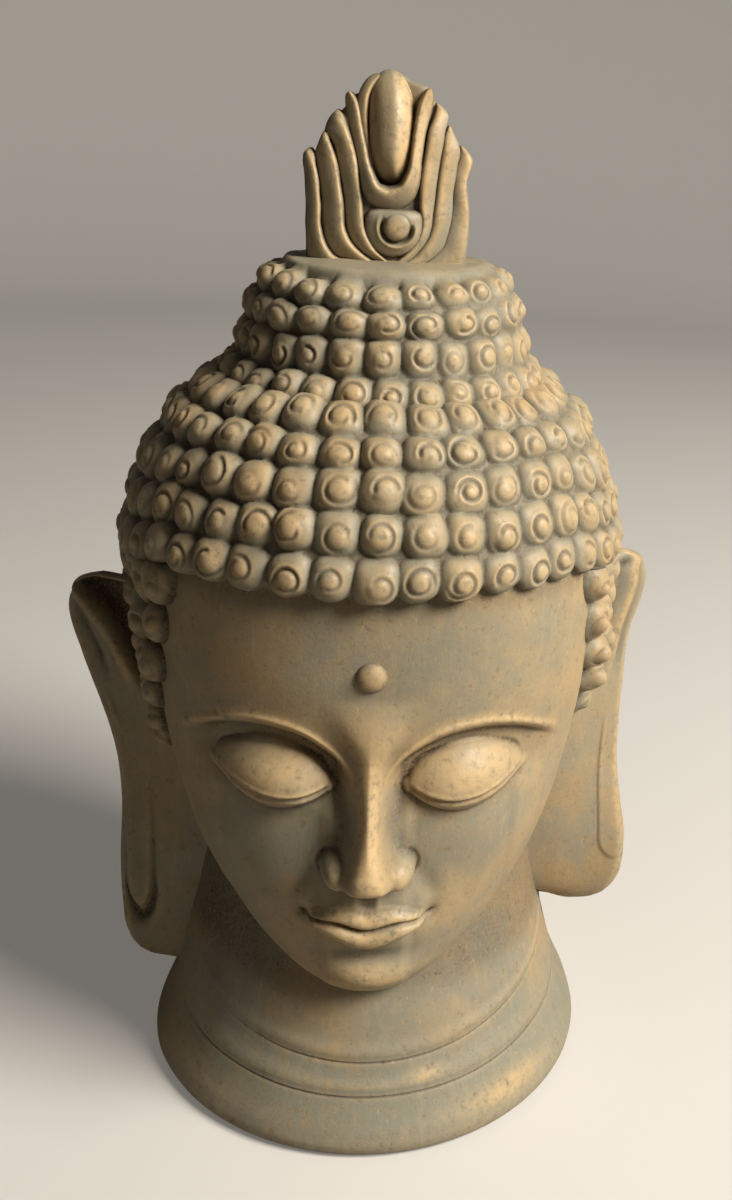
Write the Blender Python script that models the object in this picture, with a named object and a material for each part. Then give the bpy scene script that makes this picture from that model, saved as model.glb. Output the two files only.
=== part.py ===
# Buddha head cast in one piece with its flared neck foot: face, hair of snail curls, topknot, flame and ears.
# Metres, +Z up. The underside lies on z = 0, the axis of the neck is the Z axis, and the face looks along -Y.
import math

import bmesh
import bpy
import numpy as np

# Driving dimensions
HEIGHT = 0.500  # underside to the tip of the flame
FOLD_DEPTH = 0.0012  # how deep the two neck lines are cut
FOLDS = ((0.0285, 0.012), (0.0434, 0.030))  # each neck line: height in front, rise towards the back
FOLD_RISE_END = 0.8  # a neck line rises by 1 - cos(angle) up to this share, then runs level
HAIRLINE = 0.2909  # lower edge of the front curls
CURL_PITCH = 0.0186  # height of one row of curls on the upright part of the head
CURL_HEIGHT = 0.0060  # how far a curl stands out
HAIR_COLUMNS = 36  # curls in each ring of hair
LOWER_ROWS = 8  # rows of curls below the hairline, at the temples and the back
TOPKNOT_COLUMNS = 22
BACK_STRETCH = 1.06  # the head is deeper behind its axis than in front of it
TEMPLE_DROP = 0.009  # how far a row of curls sinks from the brow to behind the ears
FACE_FULLNESS = 2.25  # exponent of the rounded oval sections, 2 is an ellipse
CREASE = 0.006  # softness of the fold where the jaw meets the neck
CHIN = 0.0830
FACE_THIRD = (HAIRLINE - CHIN) / 3  # hairline to brow, brow to nose, nose to chin
NOSE_BASE, BROW = CHIN + FACE_THIRD, CHIN + 2 * FACE_THIRD
EYE_LINE = BROW - 0.3 * FACE_THIRD
EYE_WIDTH = 0.0432  # a fifth of the face width
MOUTH_LINE = NOSE_BASE - FACE_THIRD / 3
URNA_HEIGHT, URNA_RADIUS = BROW + 0.46 * FACE_THIRD, 0.0072  # the dot on the forehead

# Turned and oval profiles, as (height, radius)
NECK = (
    (0.000, 0.1150), (0.002, 0.1180), (0.006, 0.1192), (0.012, 0.1176), (0.020, 0.1140), (0.030, 0.1090),
    (0.044, 0.1034), (0.058, 0.0986), (0.072, 0.0942), (0.090, 0.0890), (0.130, 0.0830), (0.380, 0.0300),
)
FACE_FRONT = (
    (0.066, 0.0550), (0.076, 0.0850), (0.083, 0.0990), (0.092, 0.1055), (0.105, 0.1085), (0.125, 0.1090),
    (0.155, 0.1095), (0.220, 0.1105), (0.250, 0.1125), (0.280, 0.1130), (0.300, 0.1115), (0.330, 0.1030),
    (0.355, 0.0860), (0.372, 0.0550),
)
FACE_SIDE = (
    (0.066, 0.0200), (0.080, 0.0450), (0.100, 0.0670), (0.115, 0.0780), (0.130, 0.0865), (0.150, 0.0945),
    (0.175, 0.1013), (0.200, 0.1058), (0.230, 0.1092), (0.260, 0.1110), (0.285, 0.1108), (0.310, 0.1080),
    (0.335, 0.0990), (0.355, 0.0830), (0.372, 0.0520),
)
SKULL_BACK = (
    (0.066, 0.0500), (0.100, 0.0780), (0.130, 0.0890), (0.160, 0.0990), (0.200, 0.1100), (0.240, 0.1165),
    (0.280, 0.1175), (0.310, 0.1140), (0.335, 0.1050), (0.355, 0.0880), (0.372, 0.0550),
)
HAIR = (
    (0.120, 0.0940), (0.140, 0.1010), (0.160, 0.1070), (0.180, 0.1115), (0.200, 0.1155), (0.220, 0.1190),
    (0.245, 0.1232), (0.265, 0.1258), (0.283, 0.1250), (0.300, 0.1215), (0.310, 0.1182), (0.320, 0.1155),
    (0.330, 0.1113), (0.340, 0.1054), (0.350, 0.0982), (0.358, 0.0905), (0.366, 0.0805), (0.372, 0.0730),
)
HAIR_EDGES = (0.3690, 0.3577, 0.3442, 0.3278, 0.3096, HAIRLINE)  # between the five full rows
TOPKNOT = (
    (0.3560, 0.0660), (0.3655, 0.0675), (0.3780, 0.0642), (0.3912, 0.0605), (0.4036, 0.0560),
    (0.4140, 0.0468),
)
COLLAR = ((0.4165, 0.0455), (0.4190, 0.0405))  # smooth plate under the flame
TOPKNOT_MIDDLE = 0.0012  # its axis lies a little to the head's left
TEMPLE = ((0.190, 68.0), (0.205, 62.0), (0.248, 60.5), (0.256, 51.0), (0.285, 49.0))  # height, angle of hair
SIDEBURN_END = {-1: 0.176, 1: 0.200}  # by side, -1 is the head's right ear, at -X
EAR_BACK_ANGLE = 97.0  # the nape hair starts here

# Each ear: fore-and-aft place of its root, how far it turns backwards at the top and at the lobe in degrees,
# and its outer edge as (height, reach from the axis)
EARS = {
    -1: dict(root=-0.018, turn=(24.0, 11.0), edge=(
        (0.0335, 0.1040), (0.0390, 0.1220), (0.0548, 0.1300), (0.0989, 0.1325), (0.1343, 0.1310),
        (0.1632, 0.1335), (0.1855, 0.1402), (0.2128, 0.1490), (0.2440, 0.1534), (0.2540, 0.1460),
        (0.2575, 0.1360))),
    1: dict(root=-0.010, turn=(38.0, 14.0), edge=(
        (0.0675, 0.1120), (0.0700, 0.1315), (0.0775, 0.1400), (0.0963, 0.1420), (0.1489, 0.1354),
        (0.1785, 0.1340), (0.2234, 0.1382), (0.2580, 0.1438), (0.2665, 0.1400), (0.2700, 0.1330))),
}
EAR_THICKNESS = 0.0120
EAR_ROOT = ((0.02, 0.094), (0.05, 0.086), (0.10, 0.078), (0.15, 0.084), (0.20, 0.094), (0.30, 0.096))

# Flame, seen from the front: reach from its own middle line, which lies a little to the head's left
FLAME_MIDDLE = 0.0018
FLAME_FOOT = 0.4170
FLAME_OUTLINE = (
    (0.4150, 0.0370), (0.4250, 0.0374), (0.4380, 0.0366), (0.4520, 0.0356), (0.4620, 0.0345),
    (0.4710, 0.0290), (0.4800, 0.0235), (0.4890, 0.0180), (0.4960, 0.0120),
)
STRANDS = (  # reach at the foot, in the middle and at the tip, and the height of the tip
    (0.0300, 0.0322, 0.0340, 0.4650), (0.0165, 0.0226, 0.0285, 0.4745), (0.0060, 0.0142, 0.0225, 0.4830),
)
STRAND_WIDTH = 0.0050  # half of it
FLAME_DEPTH = 0.0215  # half of it, at the foot
JEWEL = (0.4530, 0.0098)  # height of its foot and half its width; its tip is the highest point
RIDGE_TIP = (0.0168, 0.4925)  # reach and height of both ends of the ridge that cups the jewel
LOBE = (0.0025, 0.4345, 0.0130)  # x from the middle line, z and radius


def smooth(stations, at):
    """Smooth curve through the stations: cubic pieces, each station's slope taken from its neighbours."""
    xs, ys = np.array(stations, float).T
    slope = np.gradient(ys, xs)
    at = np.clip(at, xs[0], xs[-1])
    i = np.clip(np.searchsorted(xs, at, side="right") - 1, 0, len(xs) - 2)
    h = xs[i + 1] - xs[i]
    t = (at - xs[i]) / h
    return (
        ys[i] * (1 + 2 * t) * (1 - t) ** 2
        + slope[i] * h * t * (1 - t) ** 2
        + ys[i + 1] * t * t * (3 - 2 * t)
        + slope[i + 1] * h * t * t * (t - 1)
    )


def step(low, high, at):
    t = np.clip((at - low) / (high - low), 0, 1)
    return t * t * (3 - 2 * t)


def bump(at, centre, width):
    return np.exp(-(((at - centre) / width) ** 2))


def oval(angle, side, front, back):
    """Radius of a rounded oval section at an angle from the front."""
    long = np.where(np.cos(angle) > 0, front, back)
    n = FACE_FULLNESS
    return (np.abs(np.sin(angle) / side) ** n + np.abs(np.cos(angle) / long) ** n) ** (-1 / n)


def face_relief(x, z):
    """How far the face stands forward of the plain oval: brows, closed eyes, nose, lips, chin and cheeks."""
    ax = np.abs(x)
    brow = BROW - 0.004 + 0.012 * (1 - ((ax - 0.044) / 0.044) ** 2)
    below_brow = step(0.0, 0.0045, brow - z)
    socket = 0.0062 * below_brow * step(EYE_LINE - 0.026, EYE_LINE + 0.004, z) * step(0.094, 0.066, ax)
    u = (ax - EYE_WIDTH) / (0.62 * EYE_WIDTH)
    w = (z - EYE_LINE - 0.001) / 0.0165
    lid = 0.0088 * np.sqrt(np.clip(1 - u * u - w * w, 0, 1))
    lid_edge = EYE_LINE - 0.0045 - 0.0035 * np.clip(1 - u * u, 0, 1)
    slit = 0.0016 * bump(z, lid_edge, 0.0016) * (np.abs(u) < 0.95)
    rise = (z - NOSE_BASE) / (BROW - NOSE_BASE)  # 0 at the foot of the nose, 1 at the brow
    bridge_height = smooth(
        ((-0.06, 0.0), (0.0, 0.004), (0.05, 0.0170), (0.14, 0.0262), (0.25, 0.0242),
         (0.50, 0.0172), (0.75, 0.0110), (0.98, 0.0062), (1.14, 0.0015), (1.28, 0.0)), rise)
    bridge_width = smooth(
        ((-0.06, 0.0115), (0.14, 0.0118), (0.30, 0.0098), (0.70, 0.0082), (1.06, 0.0120)), rise)
    nose = bridge_height * np.exp(-((ax / bridge_width) ** 3))
    wings = 0.0115 * bump(ax, 0.0142, 0.0062) * bump(z, NOSE_BASE + 0.0068, 0.0066)
    m = ax / 0.0300
    lip_line = MOUTH_LINE + 0.0042 * m * m
    lips = np.clip(1 - m * m, 0, 1)
    upper = 0.0078 * lips ** 0.6 * bump(z, lip_line + 0.0048, 0.0052)
    lower = 0.0084 * lips ** 0.8 * bump(z, lip_line - 0.0066, 0.0066)
    parting = 0.0034 * bump(z, lip_line, 0.0018) * step(1.12, 0.9, m)
    chin = 0.0060 * bump(ax, 0, 0.021) * bump(z, CHIN + 0.0125, 0.0115)
    under_lip = 0.0026 * bump(ax, 0, 0.020) * bump(z, MOUTH_LINE - 0.0195, 0.0060)
    cheeks = 0.0030 * bump(ax, 0.054, 0.026) * bump(z, NOSE_BASE + 0.0135, 0.028)
    eyes = np.maximum(lid, 0) - socket - slit
    mouth = upper + lower - parting
    return eyes + nose + wings + mouth + chin - under_lip + cheeks


def head_radius(angle, z):
    """Radius of the core: the larger of the neck and the oval head, with a soft fold between them."""
    head = oval(angle, smooth(FACE_SIDE, z), smooth(FACE_FRONT, z), smooth(SKULL_BACK, z))
    neck = smooth(NECK, z)
    return (head + neck + np.sqrt((head - neck) ** 2 + CREASE**2 * step(0.055, 0.070, z))) / 2


def new_object(name, mesh):
    item = bpy.data.objects.new(name, mesh)
    bpy.context.scene.collection.objects.link(item)
    return item


def as_object(name, bm):
    """Turns a bmesh into an object, in triangles, with its faces pointing out."""
    bmesh.ops.triangulate(bm, faces=bm.faces)
    bmesh.ops.recalc_face_normals(bm, faces=bm.faces)
    mesh = bpy.data.meshes.new(name)
    bm.to_mesh(mesh)
    bm.free()
    return new_object(name, mesh)


def rings_to_bmesh(rings, fan=False):
    """Closed solid from rings of points, (ring, column, xyz), with both ends capped: flat, or as a fan of
    triangles where the end ring isn't flat. Returns it and the side faces."""
    bm = bmesh.new()
    verts = [[bm.verts.new(p) for p in ring] for ring in rings]
    sides = []
    for low, high in zip(verts, verts[1:]):
        row = []
        for j in range(len(low)):
            k = (j + 1) % len(low)
            row.append(bm.faces.new((low[j], low[k], high[k], high[j])))
        sides.append(row)
    caps = [bm.faces.new(reversed(verts[0])), bm.faces.new(verts[-1])]
    if fan:
        bmesh.ops.poke(bm, faces=caps)
    return bm, sides


def around(angle, radius, z, stretch=1.0):
    """Points at an angle from the front, turning towards +X."""
    y = -radius * np.cos(angle)
    return np.stack([radius * np.sin(angle), np.where(y > 0, y * stretch, y), z * np.ones_like(angle)], -1)


def make_core():
    """Foot, neck, face and skull. Columns are close together over the face."""
    front = np.arange(0, 28, 3.5)
    side = np.arange(31.5, 68, 6.4)
    back = np.linspace(78, 180, 7, endpoint=False)
    half = np.concatenate([front, side, back])
    angle = np.radians(np.concatenate([half, [180.0], -half[:0:-1]]))
    (fold_low, rise_low), (fold_high, rise_high) = FOLDS
    foot_rows = [0.0, 0.004, 0.012, fold_low - 0.003, fold_low, fold_low + 0.003]
    neck_rows = [fold_high - 0.003, fold_high, fold_high + 0.003, 0.058, 0.069]
    face_rows = np.concatenate([
        np.arange(0.077, 0.118, 0.0068), np.arange(0.1200, 0.168, 0.0061), np.arange(0.1735, 0.191, 0.0075),
        np.arange(0.1935, 0.232, 0.0064), np.arange(0.242, 0.300, 0.0185), [0.330, 0.3600]])
    rows = np.array([*foot_rows, *neck_rows, *face_rows])
    tilt_stations = (0.0, fold_low - 0.003, fold_low + 0.003, fold_high - 0.003, fold_high + 0.003, 0.090)
    tilt = np.interp(rows, tilt_stations, (0.0, rise_low, rise_low, rise_high, rise_high, 0.0))
    z = rows[:, None] + tilt[:, None] * np.minimum(1 - np.cos(angle), FOLD_RISE_END)
    radius = head_radius(angle[None, :], z)
    for fold, _ in FOLDS:
        radius[np.argmin(np.abs(rows - fold))] -= FOLD_DEPTH * (1 + np.cos(angle)) / 2
    points = around(np.broadcast_to(angle, z.shape), radius, z)
    on_face = step(0.03, 0.06, -points[..., 1]) * (z > 0.07) * (z < HAIRLINE)
    points[..., 1] -= on_face * face_relief(points[..., 0], z)
    bm, _ = rings_to_bmesh(points)
    return as_object("core", bm)


def row_height(front_height, angle):
    """A row of curls sinks towards the temples; the rows near the crown stay level."""
    share = step(0.365, 0.325, front_height)
    return front_height - TEMPLE_DROP * share * step(45, 75, np.degrees(np.abs(angle)))


def is_hair(angle, z):
    """Whether a curl grows at this place: not on the face, nor in front of the ear below the sideburn."""
    degrees = abs(math.degrees(angle))
    if z > HAIRLINE - TEMPLE_DROP * float(step(45, 75, degrees)):
        return True
    if z < SIDEBURN_END[1 if angle > 0 else -1]:
        return degrees > EAR_BACK_ANGLE
    heights, edges = zip(*TEMPLE)
    return degrees > np.interp(z, heights, edges)


def raise_curls(bm, faces, border):
    """Each face becomes a curl: a smaller face, lifted by the curl's height."""
    bmesh.ops.recalc_face_normals(bm, faces=bm.faces)
    bmesh.ops.inset_individual(bm, faces=faces, thickness=border, depth=CURL_HEIGHT, use_even_offset=True)


def make_hair():
    """The cap of curls, one grid face for each. Over the face the grid sinks into the core."""
    lower = [HAIRLINE - CURL_PITCH * (i + 1) for i in range(LOWER_ROWS)]
    edges = np.array([*HAIR_EDGES, *lower])[::-1]
    columns = np.arange(HAIR_COLUMNS)
    pitch = 2 * math.pi / HAIR_COLUMNS
    angle = (columns + 0.5) * pitch
    angle = np.where(angle > math.pi, angle - 2 * math.pi, angle)
    z = row_height(edges[:, None], angle[None, :])
    radius = smooth(HAIR, z) - CURL_HEIGHT
    cell_angle = (columns + 1) * pitch
    cell_angle = np.where(cell_angle > math.pi, cell_angle - 2 * math.pi, cell_angle)
    cell_z = row_height(((edges[1:] + edges[:-1]) / 2)[:, None], cell_angle[None, :])
    grown = np.array([[is_hair(a, h) for a, h in zip(cell_angle, row)] for row in cell_z])
    near = np.zeros(z.shape, bool)
    for di, dj in ((0, 0), (0, 1), (1, 0), (1, 1)):
        near[di:di + len(grown)] |= np.roll(grown, dj, axis=1)
    radius = np.where(near, radius, 0.74 * radius)
    bm, sides = rings_to_bmesh(around(np.broadcast_to(angle, z.shape), radius, z, BACK_STRETCH), fan=True)
    front, behind = [], []
    for i, row in enumerate(sides):
        for j, face in enumerate(row):
            if grown[i, j]:
                (front if i >= LOWER_ROWS else behind).append(face)
    raise_curls(bm, front, 0.0034)
    bmesh.ops.poke(bm, faces=behind, offset=CURL_HEIGHT, center_mode="MEAN")
    return as_object("hair", bm)


def make_topknot():
    """Four rows of curls, the plate above them, and a hidden skirt that joins the hair."""
    pitch = 2 * math.pi / TOPKNOT_COLUMNS
    angle = (np.arange(TOPKNOT_COLUMNS) + 0.5) * pitch
    middle = np.array([TOPKNOT_MIDDLE, 0.0, 0.0])
    bm, sides = rings_to_bmesh([around(angle, radius, z) + middle for z, radius in (*TOPKNOT, *COLLAR)])
    raise_curls(bm, [face for row in sides[1:5] for face in row], 0.0030)
    return as_object("topknot", bm)


def swept(name, path, widths, depths, sides=6):
    """Closed solid along a path in the XZ plane. widths are half sizes across it, depths along Y."""
    path = np.asarray(path)
    along = np.gradient(path, axis=0)
    along /= np.linalg.norm(along, axis=1, keepdims=True)
    across = np.stack([along[:, 1], -along[:, 0]], 1)
    turn = (np.arange(sides) + 0.5) * 2 * math.pi / sides
    rings = []
    for centre, normal, width, depth in zip(path, across, widths, depths):
        flat = centre + np.cos(turn)[:, None] * width * normal
        rings.append(np.stack([flat[:, 0], np.sin(turn) * depth, flat[:, 1]], 1))
    bm, _ = rings_to_bmesh(rings)
    return as_object(name, bm)


def strand(name, side, stations, depth):
    """One lock of the flame. stations are (height, reach) from foot to tip; it narrows to a blunt tip."""
    height = np.linspace(stations[0][0], stations[-1][0], 6)
    share = np.linspace(0, 1, len(height))
    path = np.column_stack([FLAME_MIDDLE + side * smooth(stations, height), height])
    width = STRAND_WIDTH * np.sqrt(np.clip(1 - share**5, 0.06, 1))
    return swept(name, path, width, depth * (1 - 0.55 * share**2))


def make_flame():
    """A flat flame: body, three locks a side, a ridge that cups the jewel, the jewel and the round lobe."""
    parts = []
    heights, reaches = zip(*FLAME_OUTLINE)
    body = np.column_stack([np.full(len(heights), FLAME_MIDDLE), heights])
    depths = np.linspace(0.86 * FLAME_DEPTH, 0.30 * FLAME_DEPTH, len(heights))
    parts.append(swept("flame_body", body, reaches, depths, 8))
    for side in (-1, 1):
        for i, (foot, middle, tip, top) in enumerate(STRANDS):
            low, high = FLAME_FOOT + 0.010, FLAME_FOOT + 0.026
            stations = ((FLAME_FOOT, foot), (low, 0.9 * middle), (high, middle), (top, tip))
            parts.append(strand(f"strand_{i}_{side}", side, stations, FLAME_DEPTH - 0.0010 * (2 - i)))
    foot, wide = JEWEL
    rise = np.array([0.03, 0.14, 0.32, 0.52, 0.72, 0.88, 0.97, 1.0])
    swell = wide * np.sqrt(np.clip(1 - np.abs(1 - rise / 0.45) ** 2.2, 0, 1)) * (rise < 0.45)
    swell += wide * (1 - 0.92 * np.clip((rise - 0.45) / 0.55, 0, 1) ** 2.4) * (rise >= 0.45)
    column = np.column_stack([np.full(len(rise), FLAME_MIDDLE), foot + (HEIGHT - foot) * rise])
    parts.append(swept("jewel", column, swell, 1.9 * swell * (1 - 0.30 * rise), 8))
    reach, top = RIDGE_TIP
    turn = np.radians(np.linspace(-180, 0, 5))
    cup = np.column_stack([FLAME_MIDDLE + 0.0132 * np.cos(turn), foot + 0.0065 + 0.0125 * np.sin(turn)])
    path = np.array([(FLAME_MIDDLE - reach, top), *cup, (FLAME_MIDDLE + reach, top + 0.0025)])
    deep = FLAME_DEPTH * np.array([0.35, 0.70, 0.86, 0.86, 0.86, 0.70, 0.35])
    parts.append(swept("ridge", path, np.array([0.0018, *np.full(5, 0.0038), 0.0018]), deep))
    x, z, radius = LOBE
    latitude = np.radians(np.linspace(-76, 76, 5))
    ball = np.column_stack([np.full(5, FLAME_MIDDLE + x), z + radius * np.sin(latitude)])
    deep = 1.06 * FLAME_DEPTH * np.cos(latitude) ** 0.6
    parts.append(swept("lobe", ball, radius * np.cos(latitude), deep, 8))
    return parts


def make_ear(side):
    """A long plate that stands out from the head, hollow above, with a rim and a lobe that turns forward."""
    ear = EARS[side]
    bottom, top = ear["edge"][0][0], ear["edge"][-1][0]
    share = np.array([0.0, 0.012, 0.05, 0.12, 0.21, 0.32, 0.44, 0.56, 0.67, 0.77, 0.86, 0.93, 0.975, 1.0])
    z = bottom + (top - bottom) * share
    turn = np.radians(np.interp(share, (0.2, 0.7), ear["turn"][::-1]))
    root = smooth(EAR_ROOT, z)
    width = (smooth(ear["edge"], z) - root) / np.cos(turn)
    across = np.array([0.0, 0.35, 0.62, 0.84, 1.0])
    rings = []
    for k, s in enumerate(share):
        out = np.array([side * math.cos(turn[k]), math.sin(turn[k])])
        forward = np.array([side * math.sin(turn[k]), -math.cos(turn[k])])
        rounding = math.sqrt(max(0.06, 1 - (2 * s - 1) ** 14))
        hollow = 0.0085 * float(step(0.50, 0.72, s)) * float(step(1.0, 0.94, s))
        front = EAR_THICKNESS / 2 * rounding * np.array([1.0, 1.0, 1.0, 1.15, 0.35])
        front -= hollow * np.array([0.3, 1.0, 0.8, 0.0, 0.0])
        back = -EAR_THICKNESS / 2 * rounding * np.array([1.0, 1.0, 0.9, 0.8, 0.35])
        place = np.concatenate([across, across[::-1]]) * width[k]
        offset = np.concatenate([front, back[::-1]])
        flat = np.array([side * root[k], ear["root"]]) + place[:, None] * out + offset[:, None] * forward
        rings.append(np.column_stack([flat, np.full(len(flat), z[k])]))
    bm, _ = rings_to_bmesh(rings)
    return as_object(f"ear_{side}", bm)


def make_urna():
    mesh = bpy.data.meshes.new("urna")
    bm = bmesh.new()
    bmesh.ops.create_uvsphere(bm, u_segments=10, v_segments=5, radius=URNA_RADIUS)
    bmesh.ops.scale(bm, vec=(1, 0.62, 1), verts=bm.verts)
    bmesh.ops.translate(bm, vec=(0, -float(smooth(FACE_FRONT, URNA_HEIGHT)), URNA_HEIGHT), verts=bm.verts)
    bm.to_mesh(mesh)
    bm.free()
    return new_object("urna", mesh)


def unite(base, others):
    """One closed body from all of them. The others are removed."""
    for other in others:
        join = base.modifiers.new(other.name, "BOOLEAN")
        join.operation = "UNION"
        join.solver = "EXACT"
        join.object = other
        other.hide_render = True
        other.display_type = "WIRE"
    depsgraph = bpy.context.evaluated_depsgraph_get()
    mesh = bpy.data.meshes.new_from_object(base.evaluated_get(depsgraph))
    base.modifiers.clear()
    base.data = mesh
    for other in others:
        bpy.data.objects.remove(other)
    return base


def cast_finish():
    """Aged stone-coloured finish over a brown ground."""
    material = bpy.data.materials.new("aged_casting")
    material.use_nodes = True
    shader = material.node_tree.nodes["Principled BSDF"]
    shader.inputs["Base Color"].default_value = (0.30, 0.26, 0.18, 1)
    shader.inputs["Roughness"].default_value = 0.55
    shader.inputs["Metallic"].default_value = 0.0
    return material


for item in list(bpy.data.objects):
    bpy.data.objects.remove(item)
flame = make_flame()
head = unite(make_core(), [make_hair(), make_topknot(), *flame, make_ear(-1), make_ear(1), make_urna()])
head.name = "buddha_head"
head.data.name = "buddha_head"
head.data.materials.clear()
head.data.materials.append(cast_finish())
head.data.shade_smooth()
head.data.set_sharp_from_angle(angle=math.radians(50))
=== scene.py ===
import math

import bpy
import numpy as np
from mathutils import Matrix, Vector


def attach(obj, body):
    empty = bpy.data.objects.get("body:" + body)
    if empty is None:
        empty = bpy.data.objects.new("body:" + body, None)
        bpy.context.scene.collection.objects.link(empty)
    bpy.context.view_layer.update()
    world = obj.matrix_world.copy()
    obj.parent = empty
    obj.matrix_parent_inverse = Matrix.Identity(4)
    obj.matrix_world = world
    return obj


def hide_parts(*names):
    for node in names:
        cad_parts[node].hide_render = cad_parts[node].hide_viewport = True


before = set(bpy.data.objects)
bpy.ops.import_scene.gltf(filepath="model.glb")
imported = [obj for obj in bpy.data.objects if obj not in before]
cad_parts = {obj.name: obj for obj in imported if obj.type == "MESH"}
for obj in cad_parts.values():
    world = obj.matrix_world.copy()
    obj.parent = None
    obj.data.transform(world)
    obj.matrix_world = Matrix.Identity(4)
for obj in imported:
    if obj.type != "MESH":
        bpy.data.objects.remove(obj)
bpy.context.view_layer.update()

# Everything is in metres, +Z up, the face looks along -Y.
# Angles go round the neck's axis from the front towards +X.


def smoothCurve(line, at):
    # cubic pieces through the line's stations, each station's slope taken from its neighbours
    xs, ys = np.array(line, float).T
    slope = np.gradient(ys, xs)
    at = np.clip(at, xs[0], xs[-1])
    i = np.clip(np.searchsorted(xs, at, side="right") - 1, 0, len(xs) - 2)
    h = xs[i + 1] - xs[i]
    t = (at - xs[i]) / h
    return (ys[i] * (1 + 2 * t) * (1 - t) ** 2 + slope[i] * h * t * (1 - t) ** 2
            + ys[i + 1] * t * t * (3 - 2 * t) + slope[i + 1] * h * t * t * (t - 1))


def unit(values):
    # held between 0 and 1
    return np.clip(values, 0, 1)


def ramp(low, high, at):
    # 0 below low, 1 above high, smooth between
    t = unit((at - low) / (high - low))
    return t * t * (3 - 2 * t)


def bell(at, centre, width):
    # a smooth hump, 1 at its centre
    return np.exp(-(((at - centre) / width) ** 2))


def dome(distance, power=2.0):
    # 1 in the middle, 0 from distance 1 on, with a steep edge
    return np.sqrt(unit(1 - np.abs(distance) ** power))


def signed(value, power):
    # a power that keeps the sign, for rounded and squared sections
    return np.sign(value) * np.abs(value) ** power


def mounds(table, x, z):
    # sum of soft humps, each its height times one bell across and one bell up
    return sum(height * bell(x, place, wide) * bell(z, level, tall)
               for height, place, wide, level, tall in table.values())


def stations(spans):
    # sample places along a line: spans are (from, to, spacing), each starting where the one before ends
    runs = [np.linspace(a, b, max(2, int(round(abs(b - a) / gap)) + 1))[:-1] for a, b, gap in spans]
    return np.concatenate([*runs, [spans[-1][1]]])


def ringGrid(roundSpans, upSpans):
    # angles and heights over a ring; roundSpans are degrees on one side, mirrored from -180 to just below 180
    half = stations(roundSpans)
    angle = np.radians(np.concatenate([-half[:0:-1], half[:-1]]))
    return np.broadcast_arrays(angle[None, :], stations(upSpans)[:, None])


def fullTurn(count):
    # angles once round, from -pi up to, not with, pi
    return np.linspace(-math.pi, math.pi, count, endpoint=False)[None, :]


def waved(points, normals, amount, size, seed):
    # slow unevenness of hand work along the normals: a sum of sine waves in seeded directions
    rng = np.random.default_rng(seed)
    total = np.zeros(points.shape[:-1])
    for i in range(7):
        way = rng.normal(size=3)
        way *= (0.7 + 0.25 * i) / (size * np.linalg.norm(way))
        total += np.sin(points @ way * 2 * math.pi + rng.uniform(0, 2 * math.pi)) / (1 + 0.3 * i)
    return points + amount * (total / 3.2)[..., None] * normals


def around(angle, radius, z, stretch=1.0):
    # points at an angle from the front; behind the axis y is stretched
    y = -radius * np.cos(angle)
    return np.stack([radius * np.sin(angle), np.where(y > 0, y * stretch, y), z + 0 * angle], -1)


def gridNormals(points, ring=True):
    # cross product of the two central differences; columns run towards +X in front, rows upwards
    along = np.roll(points, -1, 1) - np.roll(points, 1, 1) if ring else np.gradient(points, axis=1)
    normals = np.cross(along, np.gradient(points, axis=0))
    return normals / np.maximum(np.linalg.norm(normals, axis=-1, keepdims=True), 1e-12)


def neighbours(values, reach, ring):
    # the grid shifted by reach cells down, up, right and left; an open grid repeats its edge
    rows, columns = np.arange(len(values)), np.arange(values.shape[1])
    shifted = [values[np.clip(rows + step, 0, rows[-1])] for step in (reach, -reach)]
    if ring:
        return shifted + [np.roll(values, step, 1) for step in (reach, -reach)]
    return shifted + [values[:, np.clip(columns + step, 0, columns[-1])] for step in (-reach, reach)]


def bending(points, normals, reach, ring):
    # mean curvature in 1/m: how far the neighbours lie above (+) or below (-) the tangent plane
    apart = np.stack(neighbours(points, reach, ring)) - points
    return ((apart * normals).sum(-1) / np.maximum((apart**2).sum(-1), 1e-9)).sum(0) / 2


def soften(values, rounds, ring):
    # average of each value and its four neighbours
    for _ in range(rounds):
        values = (2 * values + sum(neighbours(values, 1, ring))) / 6
    return values


fullBend = {"fine": 520, "broad": 170}   # curvature in 1/m at which a mask is full


def wearMasks(points, fine, broad, ring=True):
    # hollow and crest, 0 to 1: where paint and dirt stay in, and where the finish is rubbed light
    normals = gridNormals(points, ring)
    small = soften(bending(points, normals, fine, ring), 1, ring) / fullBend["fine"]
    large = soften(bending(points, normals, broad, ring), 2, ring) / fullBend["broad"]
    return {"hollow": unit(unit(small) + unit(large)), "crest": unit(unit(-small) + unit(-large))}


def gridFaces(rows, columns, ring=True):
    # four-cornered faces of a grid, wound so that they point outwards
    r = np.arange(rows - 1)[:, None] * columns
    c = np.arange(columns if ring else columns - 1)[None, :]
    following = (c + 1) % columns
    return np.stack([r + c, r + following, r + columns + following, r + columns + c], -1)


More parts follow.
